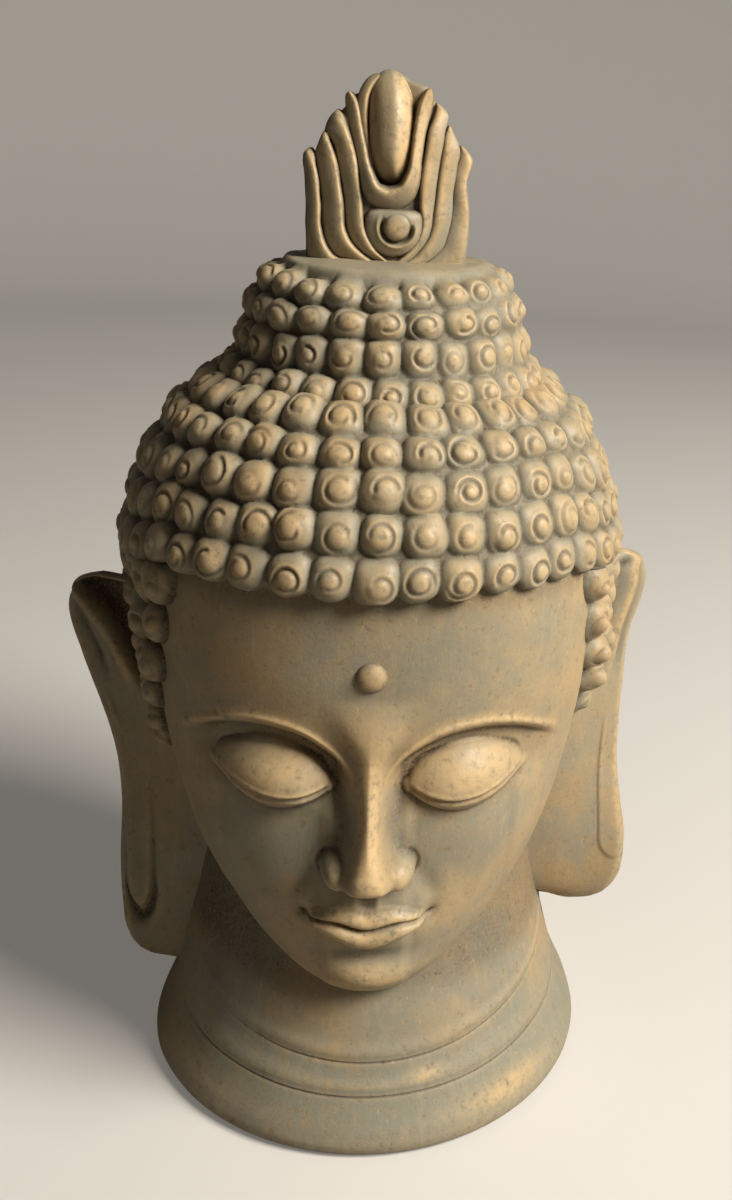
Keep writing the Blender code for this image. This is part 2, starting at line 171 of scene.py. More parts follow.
def shell(points, masks, inside, ring=True, keep=None):
    # one closed surface from a grid of points, or from the cells in keep. Each open edge is joined by a
    # triangle to the nearest of the hidden points in inside
    rows, columns = points.shape[:2]
    faces = gridFaces(rows, columns, ring)
    faces = faces[keep] if keep is not None else faces.reshape(-1, 4)
    used = np.unique(faces)
    renumber = np.full(rows * columns, -1)
    renumber[used] = np.arange(len(used))
    faces = renumber[faces]
    verts = points.reshape(-1, 3)[used]
    inside = np.atleast_2d(np.asarray(inside, float))
    masks = {key: np.append(np.broadcast_to(mask, (rows, columns)).ravel()[used], np.full(len(inside), 0.6))
             for key, mask in masks.items()}
    edges = np.concatenate([faces[:, [i, (i + 1) % 4]] for i in range(4)])
    code = np.sort(edges, 1) @ np.array([len(verts) + 1, 1])
    _, where, times = np.unique(code, return_index=True, return_counts=True)
    border = edges[where[times == 1]]
    nearest = np.linalg.norm(verts[border].mean(1)[:, None] - inside[None], axis=-1).argmin(1)
    triangles = np.column_stack([border[:, 1], border[:, 0], len(verts) + nearest])
    verts = np.vstack([verts, inside])
    return {"verts": verts, "quads": faces, "triangles": triangles, "border": border, "masks": masks}


def capped(points, masks):
    # a shell whose first and last rows are closed to their own middles
    return shell(points, masks, inside=points[[0, -1]].mean(1))


def makePiece(name, shells, material):
    # puts the shells' arrays into one mesh; the edges that the hidden triangles hang on are sharp
    first = np.cumsum([0] + [len(s["verts"]) for s in shells])
    verts = np.concatenate([s["verts"] for s in shells])
    quads, triangles, border = (np.concatenate([s[key] + n for s, n in zip(shells, first)])
                                for key in ("quads", "triangles", "border"))
    mesh = bpy.data.meshes.new(name)
    mesh.vertices.add(len(verts))
    mesh.vertices.foreach_set("co", verts.astype(np.float32).ravel())
    corners = np.concatenate([quads.ravel(), triangles.ravel()]).astype(np.int32)
    mesh.loops.add(len(corners))
    mesh.loops.foreach_set("vertex_index", corners)
    sizes = np.repeat([4, 3], [len(quads), len(triangles)])
    mesh.polygons.add(len(sizes))
    mesh.polygons.foreach_set("loop_start", np.concatenate([[0], np.cumsum(sizes)[:-1]]).astype(np.int32))
    mesh.update(calc_edges=True)
    mesh.polygons.foreach_set("use_smooth", np.ones(len(sizes), bool))
    for key in shells[0]["masks"]:
        values = np.concatenate([s["masks"][key] for s in shells])
        mesh.attributes.new(key, "FLOAT", "POINT").data.foreach_set("value", values.astype(np.float32))
    ends = np.zeros(2 * len(mesh.edges), np.int32)
    mesh.edges.foreach_get("vertices", ends)
    pair = np.array([len(verts), 1])
    sharp = np.isin(np.sort(ends.reshape(-1, 2), 1) @ pair, np.sort(border, 1) @ pair)
    mesh.attributes.new("sharp_edge", "BOOLEAN", "EDGE").data.foreach_set("value", sharp)
    mesh.materials.append(material)
    piece = bpy.data.objects.new(name, mesh)
    bpy.context.scene.collection.objects.link(piece)
    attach(piece, "root")
    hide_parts("buddha_head")
    print(name, "has", int((sizes - 2).sum()), "triangles")


# The casting's own sizes, which every piece shares with the CAD solid
headShape = {
    "hairline": 0.2909,
    "chin": 0.0830,
    "fullness": 2.25,      # exponent of the rounded oval sections
    "backStretch": 1.06,   # the head is deeper behind its axis
    # (height, distance from the axis)
    "front": ((0.066, 0.055), (0.076, 0.085), (0.083, 0.099), (0.092, 0.1055), (0.105, 0.1085),
              (0.125, 0.109), (0.155, 0.1095), (0.220, 0.1105), (0.250, 0.1125), (0.280, 0.113),
              (0.300, 0.1115)),
    "side": ((0.066, 0.020), (0.080, 0.045), (0.100, 0.067), (0.115, 0.078), (0.130, 0.0865), (0.150, 0.0945),
             (0.175, 0.1013), (0.200, 0.1058), (0.230, 0.1092), (0.260, 0.111), (0.300, 0.1095)),
    "back": ((0.066, 0.050), (0.100, 0.078), (0.130, 0.089), (0.160, 0.099), (0.200, 0.110), (0.240, 0.1165),
             (0.300, 0.115)),
}


def headRadius(angle, z):
    # rounded oval: |sin/side|^n + |cos/long|^n, to the power -1/n
    h = headShape
    side = smoothCurve(h["side"], z)
    long = np.where(np.cos(angle) > 0, smoothCurve(h["front"], z), smoothCurve(h["back"], z))
    n = h["fullness"]
    return (np.abs(np.sin(angle) / side) ** n + np.abs(np.cos(angle) / long) ** n) ** (-1 / n)


# From the hairline down, the face is divided into three equal parts
chin = headShape["chin"]
faceThird = (headShape["hairline"] - chin) / 3
noseBase = chin + faceThird
browLine = chin + 2 * faceThird
eyeLine = browLine - 0.30 * faceThird
mouthLine = noseBase - faceThird / 3
faceShape = {
    "eyeMiddle": 0.0440,     # from the face's middle line
    "eyeHalfWidth": 0.0262,
    "lidRise": 0.0088,
    "socketDepth": 0.0066,
    "mouthHalfWidth": 0.0285,
    "dotHeight": browLine + 0.46 * faceThird,
    "dotRadius": 0.0072,
    "brow": ((0.004, -0.0230), (0.011, -0.0120), (0.024, -0.0010), (0.044, 0.0052), (0.064, 0.0026),
             (0.082, -0.0072), (0.094, -0.0165)),
    # from the base of the nose (0) to the brows (1): how far it stands out, and half its width
    "noseHeight": ((-0.075, 0.0), (-0.03, 0.0045), (0.03, 0.0165), (0.085, 0.0242), (0.15, 0.0262),
                   (0.24, 0.0243), (0.40, 0.0196), (0.60, 0.0140), (0.80, 0.0092), (0.98, 0.0056),
                   (1.14, 0.0022), (1.30, 0.0)),
    "noseHalf": ((-0.075, 0.0095), (0.12, 0.0118), (0.22, 0.0100), (0.36, 0.0072), (0.70, 0.0060),
                 (0.90, 0.0072), (1.05, 0.0120), (1.3, 0.020)),
    # soft humps and hollows: height, place and half width across the face, then up it
    "relief": {
        "frown": (0.0016, 0, 0.012, browLine + 0.004, 0.012),
        "cheek": (0.0034, 0.054, 0.025, noseBase + 0.012, 0.028),
        "nostril": (-0.0035, 0.0078, 0.0030, noseBase - 0.0002, 0.0022),
        "mouth": (0.0062, 0, 0.034, mouthLine, 0.020),
        "corner": (-0.0018, 0.0300, 0.0036, mouthLine + 0.0026, 0.0046),
        "underLip": (-0.0030, 0, 0.019, mouthLine - 0.0190, 0.0058),
        "chin": (0.0062, 0, 0.021, chin + 0.0130, 0.0120),
    },
    # where the finish is rubbed light, and where the bloom lies
    "rubbed": {
        "lid": (0.585, 0.048, 0.016, eyeLine + 0.004, 0.0080),
        "upperLip": (0.9, 0, 0.020, mouthLine + 0.0050, 0.0026),
        "lowerLip": (0.9, 0, 0.020, mouthLine - 0.0055, 0.0032),
        "chin": (0.54, 0, 0.016, chin + 0.016, 0.009),
    },
    "bloom": {
        "underEye": (0.8, 0.044, 0.024, eyeLine - 0.026, 0.014),
        "besideNose": (0.8, 0.026, 0.007, noseBase + 0.020, 0.022),
        "forehead": (0.56, 0, 0.034, browLine + 0.036, 0.020),
        "underLip": (0.8, 0, 0.022, mouthLine - 0.0190, 0.0060),
    },
}


def browArch(ax):
    # height of the brow's lower edge, from the root of the nose over the eye to the temple
    return browLine + smoothCurve(faceShape["brow"], ax)


def eyeRelief(ax, z):
    # a lid like part of a ball above a hanging lash line, a thinner lower lid and a fold, in a scooped socket
    f = faceShape
    u = (ax - f["eyeMiddle"]) / f["eyeHalfWidth"]
    out = np.abs(u)
    above = browArch(ax) - z
    inEye = ramp(0.006, 0.016, ax) * ramp(0.094, 0.070, ax)
    socket = f["socketDepth"] * ramp(0.0, 0.0060, above) * ramp(0.036, 0.012, above) * inEye
    lash = eyeLine - 0.0020 - 0.0058 * unit(1 - u * u) + 0.0016 * u
    top = eyeLine + 0.0112 * dome(u)
    w = (z - (lash + top) / 2 + 0.0012) / ((top - lash) / 2 + 0.0070)
    ball = f["lidRise"] * unit(1 - (u / 1.12) ** 2 - w * w) ** (0.66 + 0.22 * (w > 0) * w)
    lower = 0.0012 * ramp(0.0, 0.0012, lash - z) * ramp(1.05, 0.80, out) * (z < lash)
    slit = 0.0015 * bell(z, lash, 0.0008) * ramp(1.04, 0.90, out)
    rim = 0.0007 * bell(z, lash + 0.0016, 0.0012) * ramp(1.0, 0.85, out)
    lowerRim = 0.0008 * bell(z, lash - 0.0030, 0.0015) * ramp(1.02, 0.80, out)
    fold = 0.0010 * bell(z, top + 0.0030, 0.0010) * ramp(1.05, 0.85, out)
    return ball - socket - lower - slit + rim + lowerRim - fold


def noseRelief(ax, z):
    # a straight bridge that widens from the brows to a round tip, and two wings
    f = faceShape
    rise = (z - noseBase) / (browLine - noseBase)
    half = smoothCurve(f["noseHalf"], rise)
    sides = 0.5 * (1 - np.tanh((ax - half) / (0.0030 + 0.0030 * unit(rise))))
    bridge = smoothCurve(f["noseHeight"], rise) * sides * (1 - 0.10 * (np.minimum(ax, half) / half) ** 2)
    fromWing = np.hypot((ax - 0.0128) / 0.0094, (z - noseBase - 0.0070) / 0.0088)
    wing = 0.0158 * unit(1 - fromWing**2.4) ** 0.62
    crease = 0.0009 * bell(fromWing, 1.06, 0.12) * ramp(0.0170, 0.0205, ax)
    return (bridge**5 + wing**5) ** 0.2 - crease


def mouthRelief(ax, z):
    # two full lips that meet in a level, slightly bowed line, and a groove with two ridges above them
    m = ax / faceShape["mouthHalfWidth"]
    line = mouthLine - 0.0012 * np.cos(2 * math.pi * unit(m)) + 0.0032 * m**2.5
    topEdge = line + 0.0094 * unit(1 - m**1.6) - 0.0012 * bell(ax, 0, 0.0035)
    lowEdge = line - 0.0112 * unit(1 - m**2.2) ** 0.8
    upperPlace = np.clip((z - line) / np.maximum(topEdge - line, 0.0012), 0.02, 0.98)
    lowerPlace = np.clip((line - z) / np.maximum(line - lowEdge, 0.0012), 0.02, 0.98)
    upper = (z >= line) * (z <= topEdge) * 0.0036 * np.sin(math.pi * upperPlace) ** 0.55
    lower = (z < line) * (z >= lowEdge) * 0.0046 * np.sin(math.pi * lowerPlace) ** 0.5
    border = 0.0009 * bell(z, topEdge + 0.0008, 0.0009)
    parting = 0.0026 * bell(z, line, 0.0011) * ramp(1.12, 0.95, m)
    groove = 0.0013 * bell(ax, 0, 0.0032) * ramp(topEdge, topEdge + 0.004, z)
    groove = groove * ramp(noseBase + 0.001, noseBase - 0.004, z)
    ridges = 0.0007 * bell(ax, 0.0052, 0.0018) * ramp(topEdge, topEdge + 0.003, z)
    ridges = ridges * ramp(noseBase, noseBase - 0.004, z)
    return (upper + lower + border) * ramp(1.06, 0.82, m) - parting - groove + ridges


def faceRelief(x, z):
    # how far the calm, evenly proportioned face stands forward of the plain oval head
    ax = np.abs(x)
    browEdge = 0.0011 * bell(z, browArch(ax) + 0.0014, 0.0015)
    browEdge = browEdge * ramp(0.006, 0.014, ax) * ramp(0.094, 0.078, ax)
    fold = 0.0012 * bell(ax, 0.0270 + 0.35 * (noseBase - z), 0.0050) * bell(z, noseBase - 0.006, 0.012)
    features = eyeRelief(ax, z) + noseRelief(ax, z) + mouthRelief(ax, z)
    return features + browEdge - fold + mounds(faceShape["relief"], ax, z)


def faceWear(x, z):
    # where the finish is rubbed light, also along the brows and the bridge, and where the bloom lies
    ax = np.abs(x)
    brow = bell(z, browArch(ax) + 0.0030, 0.0026) * ramp(0.010, 0.030, ax) * ramp(0.090, 0.066, ax)
    bridge = bell(ax, 0, 0.0045) * ramp(noseBase, noseBase + 0.010, z) * ramp(browLine, browLine - 0.020, z)
    rubbed = 0.9 * (brow + bridge) + mounds(faceShape["rubbed"], ax, z)
    return unit(rubbed), unit(mounds(faceShape["bloom"], ax, z))


def makeFace(material):
    # the oval head with the relief pushed forward along -Y on its front half
    angle, z = ringGrid([(0, 40, 0.34), (40, 76, 0.78), (76, 180, 6.5)],
                        [(0.066, 0.078, 0.0020), (0.078, 0.238, 0.00080), (0.238, 0.300, 0.0018)])
    points = around(angle, headRadius(angle, z), z)
    rubbed, bloom = faceWear(points[..., 0], z)
    onFace = ramp(0.025, 0.060, -points[..., 1]) * ramp(0.072, 0.082, z) * ramp(0.296, 0.262, z)
    points[..., 1] -= onFace * faceRelief(points[..., 0], z)
    points = waved(points, gridNormals(points), 0.00035, 0.055, 3)
    masks = wearMasks(points, fine=2, broad=9)
    underHair = bell(z, headShape["hairline"] - 0.002, 0.0075)
    masks["hollow"] = unit(masks["hollow"] + 0.55 * underHair)
    masks["crest"] = unit(masks["crest"] + rubbed * onFace)
    masks["valley"] = bloom * onFace
    makePiece("face", [shell(points, masks, inside=(0, 0, 0.2))], material)


neckShape = {
    "profile": ((0.000, 0.113), (0.002, 0.116), (0.006, 0.1174), (0.012, 0.116), (0.020, 0.1122),
                (0.030, 0.1078), (0.044, 0.1028), (0.058, 0.0994), (0.072, 0.0964), (0.090, 0.092),
                (0.130, 0.084)),
    # each line's height in front, its rise towards the back, and where it fades out on the left and the right
    "folds": ((0.0285, 0.012, (-64, -40), (96, 72)), (0.0434, 0.030, (-46, -14), (90, 66))),
    "foldRiseEnd": 0.8,
    "foldDepth": 0.0006,
    "foldWidth": 0.0005,
    "swell": 0.0011,
    "flatLeft": 0.0036,     # behind its right side the foot is a little flatter
    "footShift": (0.0008, -0.0042),   # the foot stands a little forward of the head's axis
}


def makeNeck(material):
    # a turned foot whose rings tilt with the two neck lines, which are cut into swelling flesh
    n = neckShape
    angle, level = ringGrid([(0, 95, 0.9), (95, 180, 1.8)],
                            [(0, 0.012, 0.0011), (0.012, 0.025, 0.0018), (0.025, 0.047, 0.00035),
                             (0.047, 0.072, 0.0014), (0.072, 0.130, 0.0050)])
    (low, lowRise, *_), (high, highRise, *_) = n["folds"]
    tilt = np.interp(level, (0.0, low - 0.004, low + 0.004, high - 0.004, high + 0.004, 0.090),
                     (0.0, lowRise, lowRise, highRise, highRise, 0.0))
    z = level + tilt * np.minimum(1 - np.cos(angle), n["foldRiseEnd"])
    radius = smoothCurve(n["profile"], z)
    turned = np.degrees(angle)
    cut = 0
    for height, _, leftFade, rightFade in n["folds"]:
        shown = ramp(*leftFade, turned) * ramp(*rightFade, turned)
        cut = cut + bell(level, height, n["foldWidth"]) * shown
        radius = radius + n["swell"] * bell(level, height + 0.0052, 0.0034) * (0.3 + 0.7 * shown)
    points = around(angle, radius - n["foldDepth"] * cut, z)
    points[..., :2] += np.array(n["footShift"]) * ramp(0.085, 0.010, z)[..., None]
    behind = ramp(-66, -100, turned) * ramp(-178, -130, turned)
    points[..., 0] += n["flatLeft"] * behind * ramp(0.060, 0.030, z)
    points = waved(points, gridNormals(points), 0.0006 * ramp(0.0, 0.010, z)[..., None], 0.075, 5)
    masks = wearMasks(points, fine=1, broad=5)
    # painted shade: darker below the ear and jaw on the -X side, away from the key lamp, and a little along
    # the +X edge
    paintedShade = 0.36 * bell(turned, -56, 26) * ramp(0.040, 0.066, z) + 0.10 * bell(turned, 92, 18)
    masks["hollow"] = unit(0.5 * masks["hollow"] + 0.10 * cut + 0.7 * ramp(0.0038, 0.0004, z)
                           + 0.5 * ramp(0.068, 0.085, z) + paintedShade)
    # handled places: a broad scuff on the foot, a smaller one between the lines, and a faint one on the left
    scuff = bell(turned, 40, 15) * bell(z, 0.0165, 0.0055)
    scuff = scuff + 0.9 * bell(turned, 17, 5) * bell(level, 0.0360, 0.0030)
    faint = 0.4 * bell(turned, -48, 14) * bell(z, 0.018, 0.008)
    masks["crest"] = unit(0.6 * masks["crest"] + scuff + faint)
    masks["valley"] = unit(bell(turned, 8, 72) * ramp(0.056, 0.030, z)) * (1 - 0.8 * unit(scuff))
    makePiece("neck_foot", [shell(points, masks, inside=((0, 0, 0), (0, 0, 0.13)))], material)


curlShape = {
    "height": 0.0074,
    "web": 0.0019,        # the casting fills the gaps between curls up to here
    "roundBelow": 2.3,    # a curl is rounder at its foot and squarer at its top
    "squareAbove": 3.0,
    "grooveDepth": 0.0013,
    "grooveWidth": 0.078,
    "templeTurn": 0.42,   # beside the face the coils turn towards the front
    "nub": 0.0009,
    "lip": 0.0005,
    # each curl's own values are drawn between two ends, or from three choices
    "drawn": {
        "shiftU": (-0.13, 0.13), "shiftV": (-0.12, 0.12), "size": (1.05, 1.17), "rise": (0.78, 1.10),
        "lean": (-0.22, 0.22), "start": (0, 2 * math.pi), "span": (3.6, 8.6), "hand": (-1.0, 1.0, 1.0),
        "cut": (0.30, 1.0), "offU": (-0.13, 0.13), "offV": (-0.27, 0.03), "coil": (0.38, 0.58),
    },
}


def curlTable(edges, counts, phases, fronts, seed):
    # rows of curls from the lowest up: edges in height, curls in a ring, one curl's angle, each row's start
    rng = np.random.default_rng(seed)
    edges, counts = np.array(edges, float), np.array(counts)
    shape = (len(counts), counts.max())
    table = {"edges": edges, "counts": counts, "phases": np.radians(phases), "fronts": fronts,
             "middle": (edges[1:] + edges[:-1]) / 2, "half": (edges[1:] - edges[:-1]) / 2}
    for key, ends in curlShape["drawn"].items():
        table[key] = rng.uniform(*ends, shape) if len(ends) == 2 else rng.choice(ends, shape)
    return table


def curlField(angle, level, table, rounder=0.0):
    # for each point, the highest of the nine nearest curls: a ball with a squared top and a coiled groove
    # round a nub. Returns its height, groove, its wear with a painted highlight, and the distance from the
    # nearest middle
    look = curlShape
    best = np.full(angle.shape, -1.0)
    found = {key: np.zeros(angle.shape) for key in ("height", "groove", "wearAndHighlight")}
    nearest = np.full(angle.shape, 9.0)
    last = len(table["counts"]) - 1
    index = np.clip(np.searchsorted(table["edges"], level) - 1, 0, last)
    for rowStep in (-1, 0, 1):
        row = np.clip(index + rowStep, 0, last)
        real = row == index + rowStep
        count = table["counts"][row]
        pitch = 2 * math.pi / count
        cell = np.round((angle - table["phases"][row]) / pitch).astype(int)
        for columnStep in (-1, 0, 1):
            column = cell + columnStep
            own = {key: table[key][row, column % count] for key in look["drawn"]}
            middle = table["phases"][row] + column * pitch
            turned = np.degrees(np.abs((middle + math.pi) % (2 * math.pi) - math.pi))
            grown = real & (turned > table["fronts"][(np.sin(middle) > 0).astype(int), row])
            across = (angle - middle) / (pitch / 2 * own["size"]) - own["shiftU"]
            up = (level - table["middle"][row]) / table["half"][row] / own["size"] - own["shiftV"]
            u, v = across - own["lean"] * up, up + own["lean"] * across
            power = 2.1 + (np.where(v > 0, look["squareAbove"], look["roundBelow"]) - 2.1) * (1 - rounder)
            rim = (np.abs(u) ** power + np.abs(v) ** power) ** (1 / power)
            ball = look["height"] * own["rise"] * np.where(rim < 1, dome(rim, 2.35), -0.3 * rim)
            cu = u - own["offU"] + look["templeTurn"] * rounder * np.sign(np.sin(middle))
            cv = v - own["offV"]
            out = np.hypot(cu, cv)
            swept = (np.arctan2(cv, cu) * own["hand"] + own["start"]) % (2 * math.pi)
            groove, lip = 0.0, 0.0
            for turns in (0, 1):
                share = (swept + 2 * math.pi * turns) / own["span"]
                coil = own["coil"] * (1.25 - 0.60 * share)
                fade = ramp(1.0, 0.84, share) * ramp(0.0, 0.12, share) * own["cut"]
                groove = np.maximum(groove, bell(out, coil, look["grooveWidth"]) * fade)
                lip = np.maximum(lip, bell(out, coil + 0.16, 0.075) * fade)
            nub = unit(1 - (out / own["coil"]) ** 2) ** 0.7
            height = ball - look["grooveDepth"] * groove + look["lip"] * lip + look["nub"] * nub
            # the lip and the ball's top are rubbed; the nub's side towards +X, where the key lamp falls in
            # front, is a painted highlight
            wearAndHighlight = unit(0.7 * nub * ramp(-0.45, 0.35, cu) + 0.5 * lip + 0.2 * unit(1 - rim))
            wins = grown & (ball > best)
            best = np.where(wins, ball, best)
            for key, value in (("height", height), ("groove", groove), ("wearAndHighlight", wearAndHighlight)):
                found[key] = np.where(wins, value, found[key])
            nearest = np.where(grown, np.minimum(nearest, rim), nearest)
    return np.maximum(found["height"], 0), found["groove"] * (best > 0), found["wearAndHighlight"] * (best > 0), nearest


def webbed(height, angle, share=1.0):
    # smooth maximum of the curls and the web between them; the curls on the right have the fuller web
    web = curlShape["web"] * share * (0.80 + 0.55 * np.sin(angle))
    return (height + web + np.sqrt((height - web) ** 2 + 0.0013**2)) / 2 - 0.0006


def curlPoints(tops, normals, height, seed):
    # the curls' surface, measured from where their tops lie
    return waved(tops + normals * height[..., None], normals, 0.0004, 0.02, seed)


def curlMasks(points, height, groove, wearAndHighlight, fine=2, broad=6, ring=True):
    # paint stays in the coils and between the curls, and the curls' tops are rubbed; the crest also takes the
    # painted highlight on the lit side of each nub
    masks = wearMasks(points, fine, broad, ring)
    valley = ramp(0.0046, 0.0022, height)
    masks["hollow"] = unit(0.45 * masks["hollow"] + 0.22 * valley + 0.45 * groove)
    masks["crest"] = unit((0.5 * masks["crest"] + 0.8 * wearAndHighlight) * (1 - valley) * (1 - groove))
    masks["valley"] = ramp(0.0060, 0.0026, height)
    return masks


hairShape = {
    "rowPitch": 0.0170,     # rows below the hairline
    "lowerRows": 9,
    "upperEdges": (0.2909, 0.3096, 0.3278, 0.3442, 0.3577, 0.3690),
    "top": 0.3740,
    # in each row, from the nape up: how many curls stand in the ring, and the angle of one of them
    "counts": (34, 35, 36, 37, 38, 39, 40, 40, 40, 40, 39, 36, 34, 30),
    "phases": (3, 0, 2, 4, 0, 4.6, 0.5, 4.8, 0, 0.4, 1.2, 0.3, 0.8, 1.5),
    "profile": ((0.120, 0.094), (0.140, 0.101), (0.160, 0.107), (0.180, 0.1115), (0.200, 0.1155),
                (0.220, 0.119), (0.245, 0.1234), (0.265, 0.126), (0.283, 0.1256), (0.300, 0.123),
                (0.310, 0.1202), (0.320, 0.1168), (0.330, 0.1124), (0.340, 0.1072), (0.350, 0.1008),
                (0.358, 0.093), (0.366, 0.0818), (0.374, 0.072)),
    "sideShift": 0.0018,    # the rows above the ears stand this much to the left
    "sideBulge": 0.0050,    # and those just over the right ear swell outwards
    "crownShift": 0.0010,   # the rows below the topknot stand this much to the other side
    "rightDrop": 0.0055,    # the rows of the right temple hang lower than those of the left one
    "frontDrop": 0.0085,    # and on both the rows are taller than at the nape
    "templeDrop": 0.009,    # a row sinks this much from the brow to behind the ears
    # in front, the rows below the hairline begin at these angles, from the nape up; right ear, left ear
    "fronts": ((97, 97, 79, 76, 71, 66, 61, 57, 53), (97, 97, 97, 97, 79, 74, 69, 64, 58)),
    "skinOffset": 0.0104,   # beside the face the curls' tops stand this far off the skin
    "lowOffset": 0.0038,    # and the lowest of the left temple this much further
}


def hairTable():
    # nine rows below the hairline and five above it
    h = hairShape
    below = [h["upperEdges"][0] - h["rowPitch"] * i for i in range(h["lowerRows"], 0, -1)]
    fronts = np.array([side + (-1.0,) * 5 for side in h["fronts"]])
    return curlTable([*below, *h["upperEdges"]], h["counts"], h["phases"], fronts, 11)


def hairTops(angle, level):
    # where the curls' tops lie; a row sinks towards the temples, while the rows near the crown stay level
    h = hairShape
    turned = np.degrees(np.abs(angle))
    rightSide = ramp(-0.3, -0.8, np.sin(angle))
    z = level - h["templeDrop"] * ramp(0.365, 0.325, level) * ramp(45, 75, turned)
    z = z - h["rightDrop"] * ramp(0.290, 0.262, level) * rightSide
    z = z - h["frontDrop"] * ramp(0.292, 0.212, level) * ramp(110, 85, turned)
    tops = around(angle, smoothCurve(h["profile"], z), z, headShape["backStretch"])
    tops[..., 0] -= h["sideShift"] * bell(z, 0.281, 0.018) - h["crownShift"] * bell(z, 0.348, 0.014)
    tops[..., 0] -= h["sideBulge"] * bell(z, 0.251, 0.015) * rightSide
    return tops


def makeHairBand(name, low, high, table, material, tuck):
    # a full ring of whole rows; its lower edge is tucked in under the lowest row where that is the hairline
    angle, level = ringGrid([(0, 100, 0.33), (100, 180, 0.66)], [(low, high, 0.00072)])
    tops = hairTops(angle, level)
    height, groove, wearAndHighlight, _ = curlField(angle, level, table)
    # no web under the hairline
    edge = ramp(60, 48, np.degrees(np.abs(angle))) * ramp(0.0060, 0.0, level - low) if tuck else 0 * angle
    floor = -curlShape["height"] - 0.0042 * edge * (height <= 0.0003)
    height = webbed(height, angle, 1 - edge)
    points = curlPoints(tops, gridNormals(tops), height + floor, 17)
    masks = curlMasks(points, height, groove, wearAndHighlight)
    if tuck:
        points = np.concatenate([points[:1] * np.array([0.86, 0.86, 1.0]), points])
        masks = {key: np.concatenate([m[:1] * 0 + 0.5, m]) for key, m in masks.items()}
    makePiece(name, [shell(points, masks, inside=(0, 0, 0.31))], material)


def makeLowerHair(table, material):
    # temples and nape: cells in front of each row's first curl are left out, and the edge turns into the head
    h = hairShape
    bottom = h["upperEdges"][0] - h["rowPitch"] * h["lowerRows"]
    half = stations([(44, 100, 0.36), (100, 180, 0.62)])
    angle = np.radians(np.concatenate([half, 360 - half[-2::-1]]))
    angle = np.where(angle > math.pi, angle - 2 * math.pi, angle)
    level = stations([(bottom - 0.004, h["upperEdges"][0], 0.00092)])
    angle, level = np.broadcast_arrays(angle[None, :], level[:, None])
    tops = hairTops(angle, level)
    # in front the hairline row belongs to the band above alone
    fronts = table["fronts"].copy()
    fronts[:, h["lowerRows"]:] = 66
    # beside the face the curls sit on the skin itself
    further = h["lowOffset"] * ramp(0.266, 0.240, level) * ramp(0.3, 0.8, np.sin(angle))
    skin = around(angle, headRadius(angle, tops[..., 2]) + h["skinOffset"] + further, tops[..., 2])
    onSkin = ramp(92, 74, np.degrees(np.abs(angle))) * ramp(0.294, 0.280, level)
    tops = tops + (skin - tops) * onSkin[..., None]
    height, groove, wearAndHighlight, nearest = curlField(angle, level, dict(table, fronts=fronts), onSkin)
    taller = 1 + (0.52 + further / curlShape["height"]) * onSkin
    height = height * taller
    floor = -curlShape["height"] * taller - 0.018 * ramp(1.05, 1.35, nearest) * (height <= 0)
    height = webbed(height, angle, ramp(1.25, 1.05, nearest))
    points = curlPoints(tops, gridNormals(tops, ring=False), height + floor, 17)
    masks = curlMasks(points, height, groove, wearAndHighlight, broad=4, ring=False)
    # painted shade: darker between the curls of the right temple, the side away from the key lamp
    paintedShade = onSkin * ramp(0.2, -0.5, np.sin(angle))
    masks["hollow"] = unit(masks["hollow"] + 0.75 * paintedShade * ramp(0.0062, 0.0024, height))
    near = nearest <= 1.7
    keep = near[:-1, :-1] | near[1:, :-1] | near[:-1, 1:] | near[1:, 1:]
    makePiece("temple_and_nape_curls", [shell(points, masks, (0, 0, 0.22), ring=False, keep=keep)], material)


topknotShape = {
    "middle": 0.0018,
    "sideLift": 0.0030,     # the top row and the collar's edge rise this much beside the flame
    "edges": (0.3634, 0.3760, 0.3906, 0.4038, 0.4147),
    "counts": (29, 26, 23, 21),
    "phases": (2, -1, 1, -2),
    # where the curls' tops lie, then the smooth collar that slopes up to the foot of the flame
    "profile": ((0.3560, 0.0846), (0.3600, 0.0828), (0.3655, 0.0796), (0.3720, 0.0754), (0.3780, 0.0718),
                (0.3912, 0.0684), (0.4036, 0.0636),
                (0.4095, 0.0586), (0.4125, 0.0548), (0.4148, 0.0500), (0.4163, 0.0450), (0.4172, 0.0400),
                (0.4178, 0.0330)),
    "collarFrom": (0.4136, 0.4163),
    "fullerWeb": 0.6,       # on the right the curls of the topknot are half filled in
}


def makeTopknot(material):
    # four rows of curls and a smooth collar above them
    t = topknotShape
    table = curlTable(t["edges"], t["counts"], t["phases"], np.full((2, 4), -1.0), 23)
    bottom, top = t["profile"][0][0], t["profile"][-1][0]
    upSpans = [(bottom, 0.4140, 0.00058), (0.4140, top, 0.0004)]
    angle, level = ringGrid([(0, 100, 0.60), (100, 180, 0.90)], upSpans)
    tops = around(angle, smoothCurve(t["profile"], level), level)
    height, groove, wearAndHighlight, _ = curlField(angle, level, table)
    height = webbed(height, angle, 1 + t["fullerWeb"] * ramp(0.30, 0.90, np.sin(angle)))
    collar = ramp(*t["collarFrom"], level)
    sunk = (height - curlShape["height"]) * (1 - collar) - 0.0008 * collar * ramp(top - 0.0001, 0.4150, level)
    points = curlPoints(tops, gridNormals(tops), sunk, 29)
    points[..., 0] += t["middle"]
    lifted = ramp(0.396, 0.410, level) * ramp(top, 0.4150, level)
    points[..., 2] += t["sideLift"] * np.sin(angle) ** 2 * lifted
    masks = curlMasks(points, np.maximum(height, 0.0041 * collar), groove * (1 - collar), wearAndHighlight * (1 - collar))
    ends = [(t["middle"], 0, z) for z in (bottom, top)]
    makePiece("topknot_curls", [shell(points, masks, inside=ends)], material)


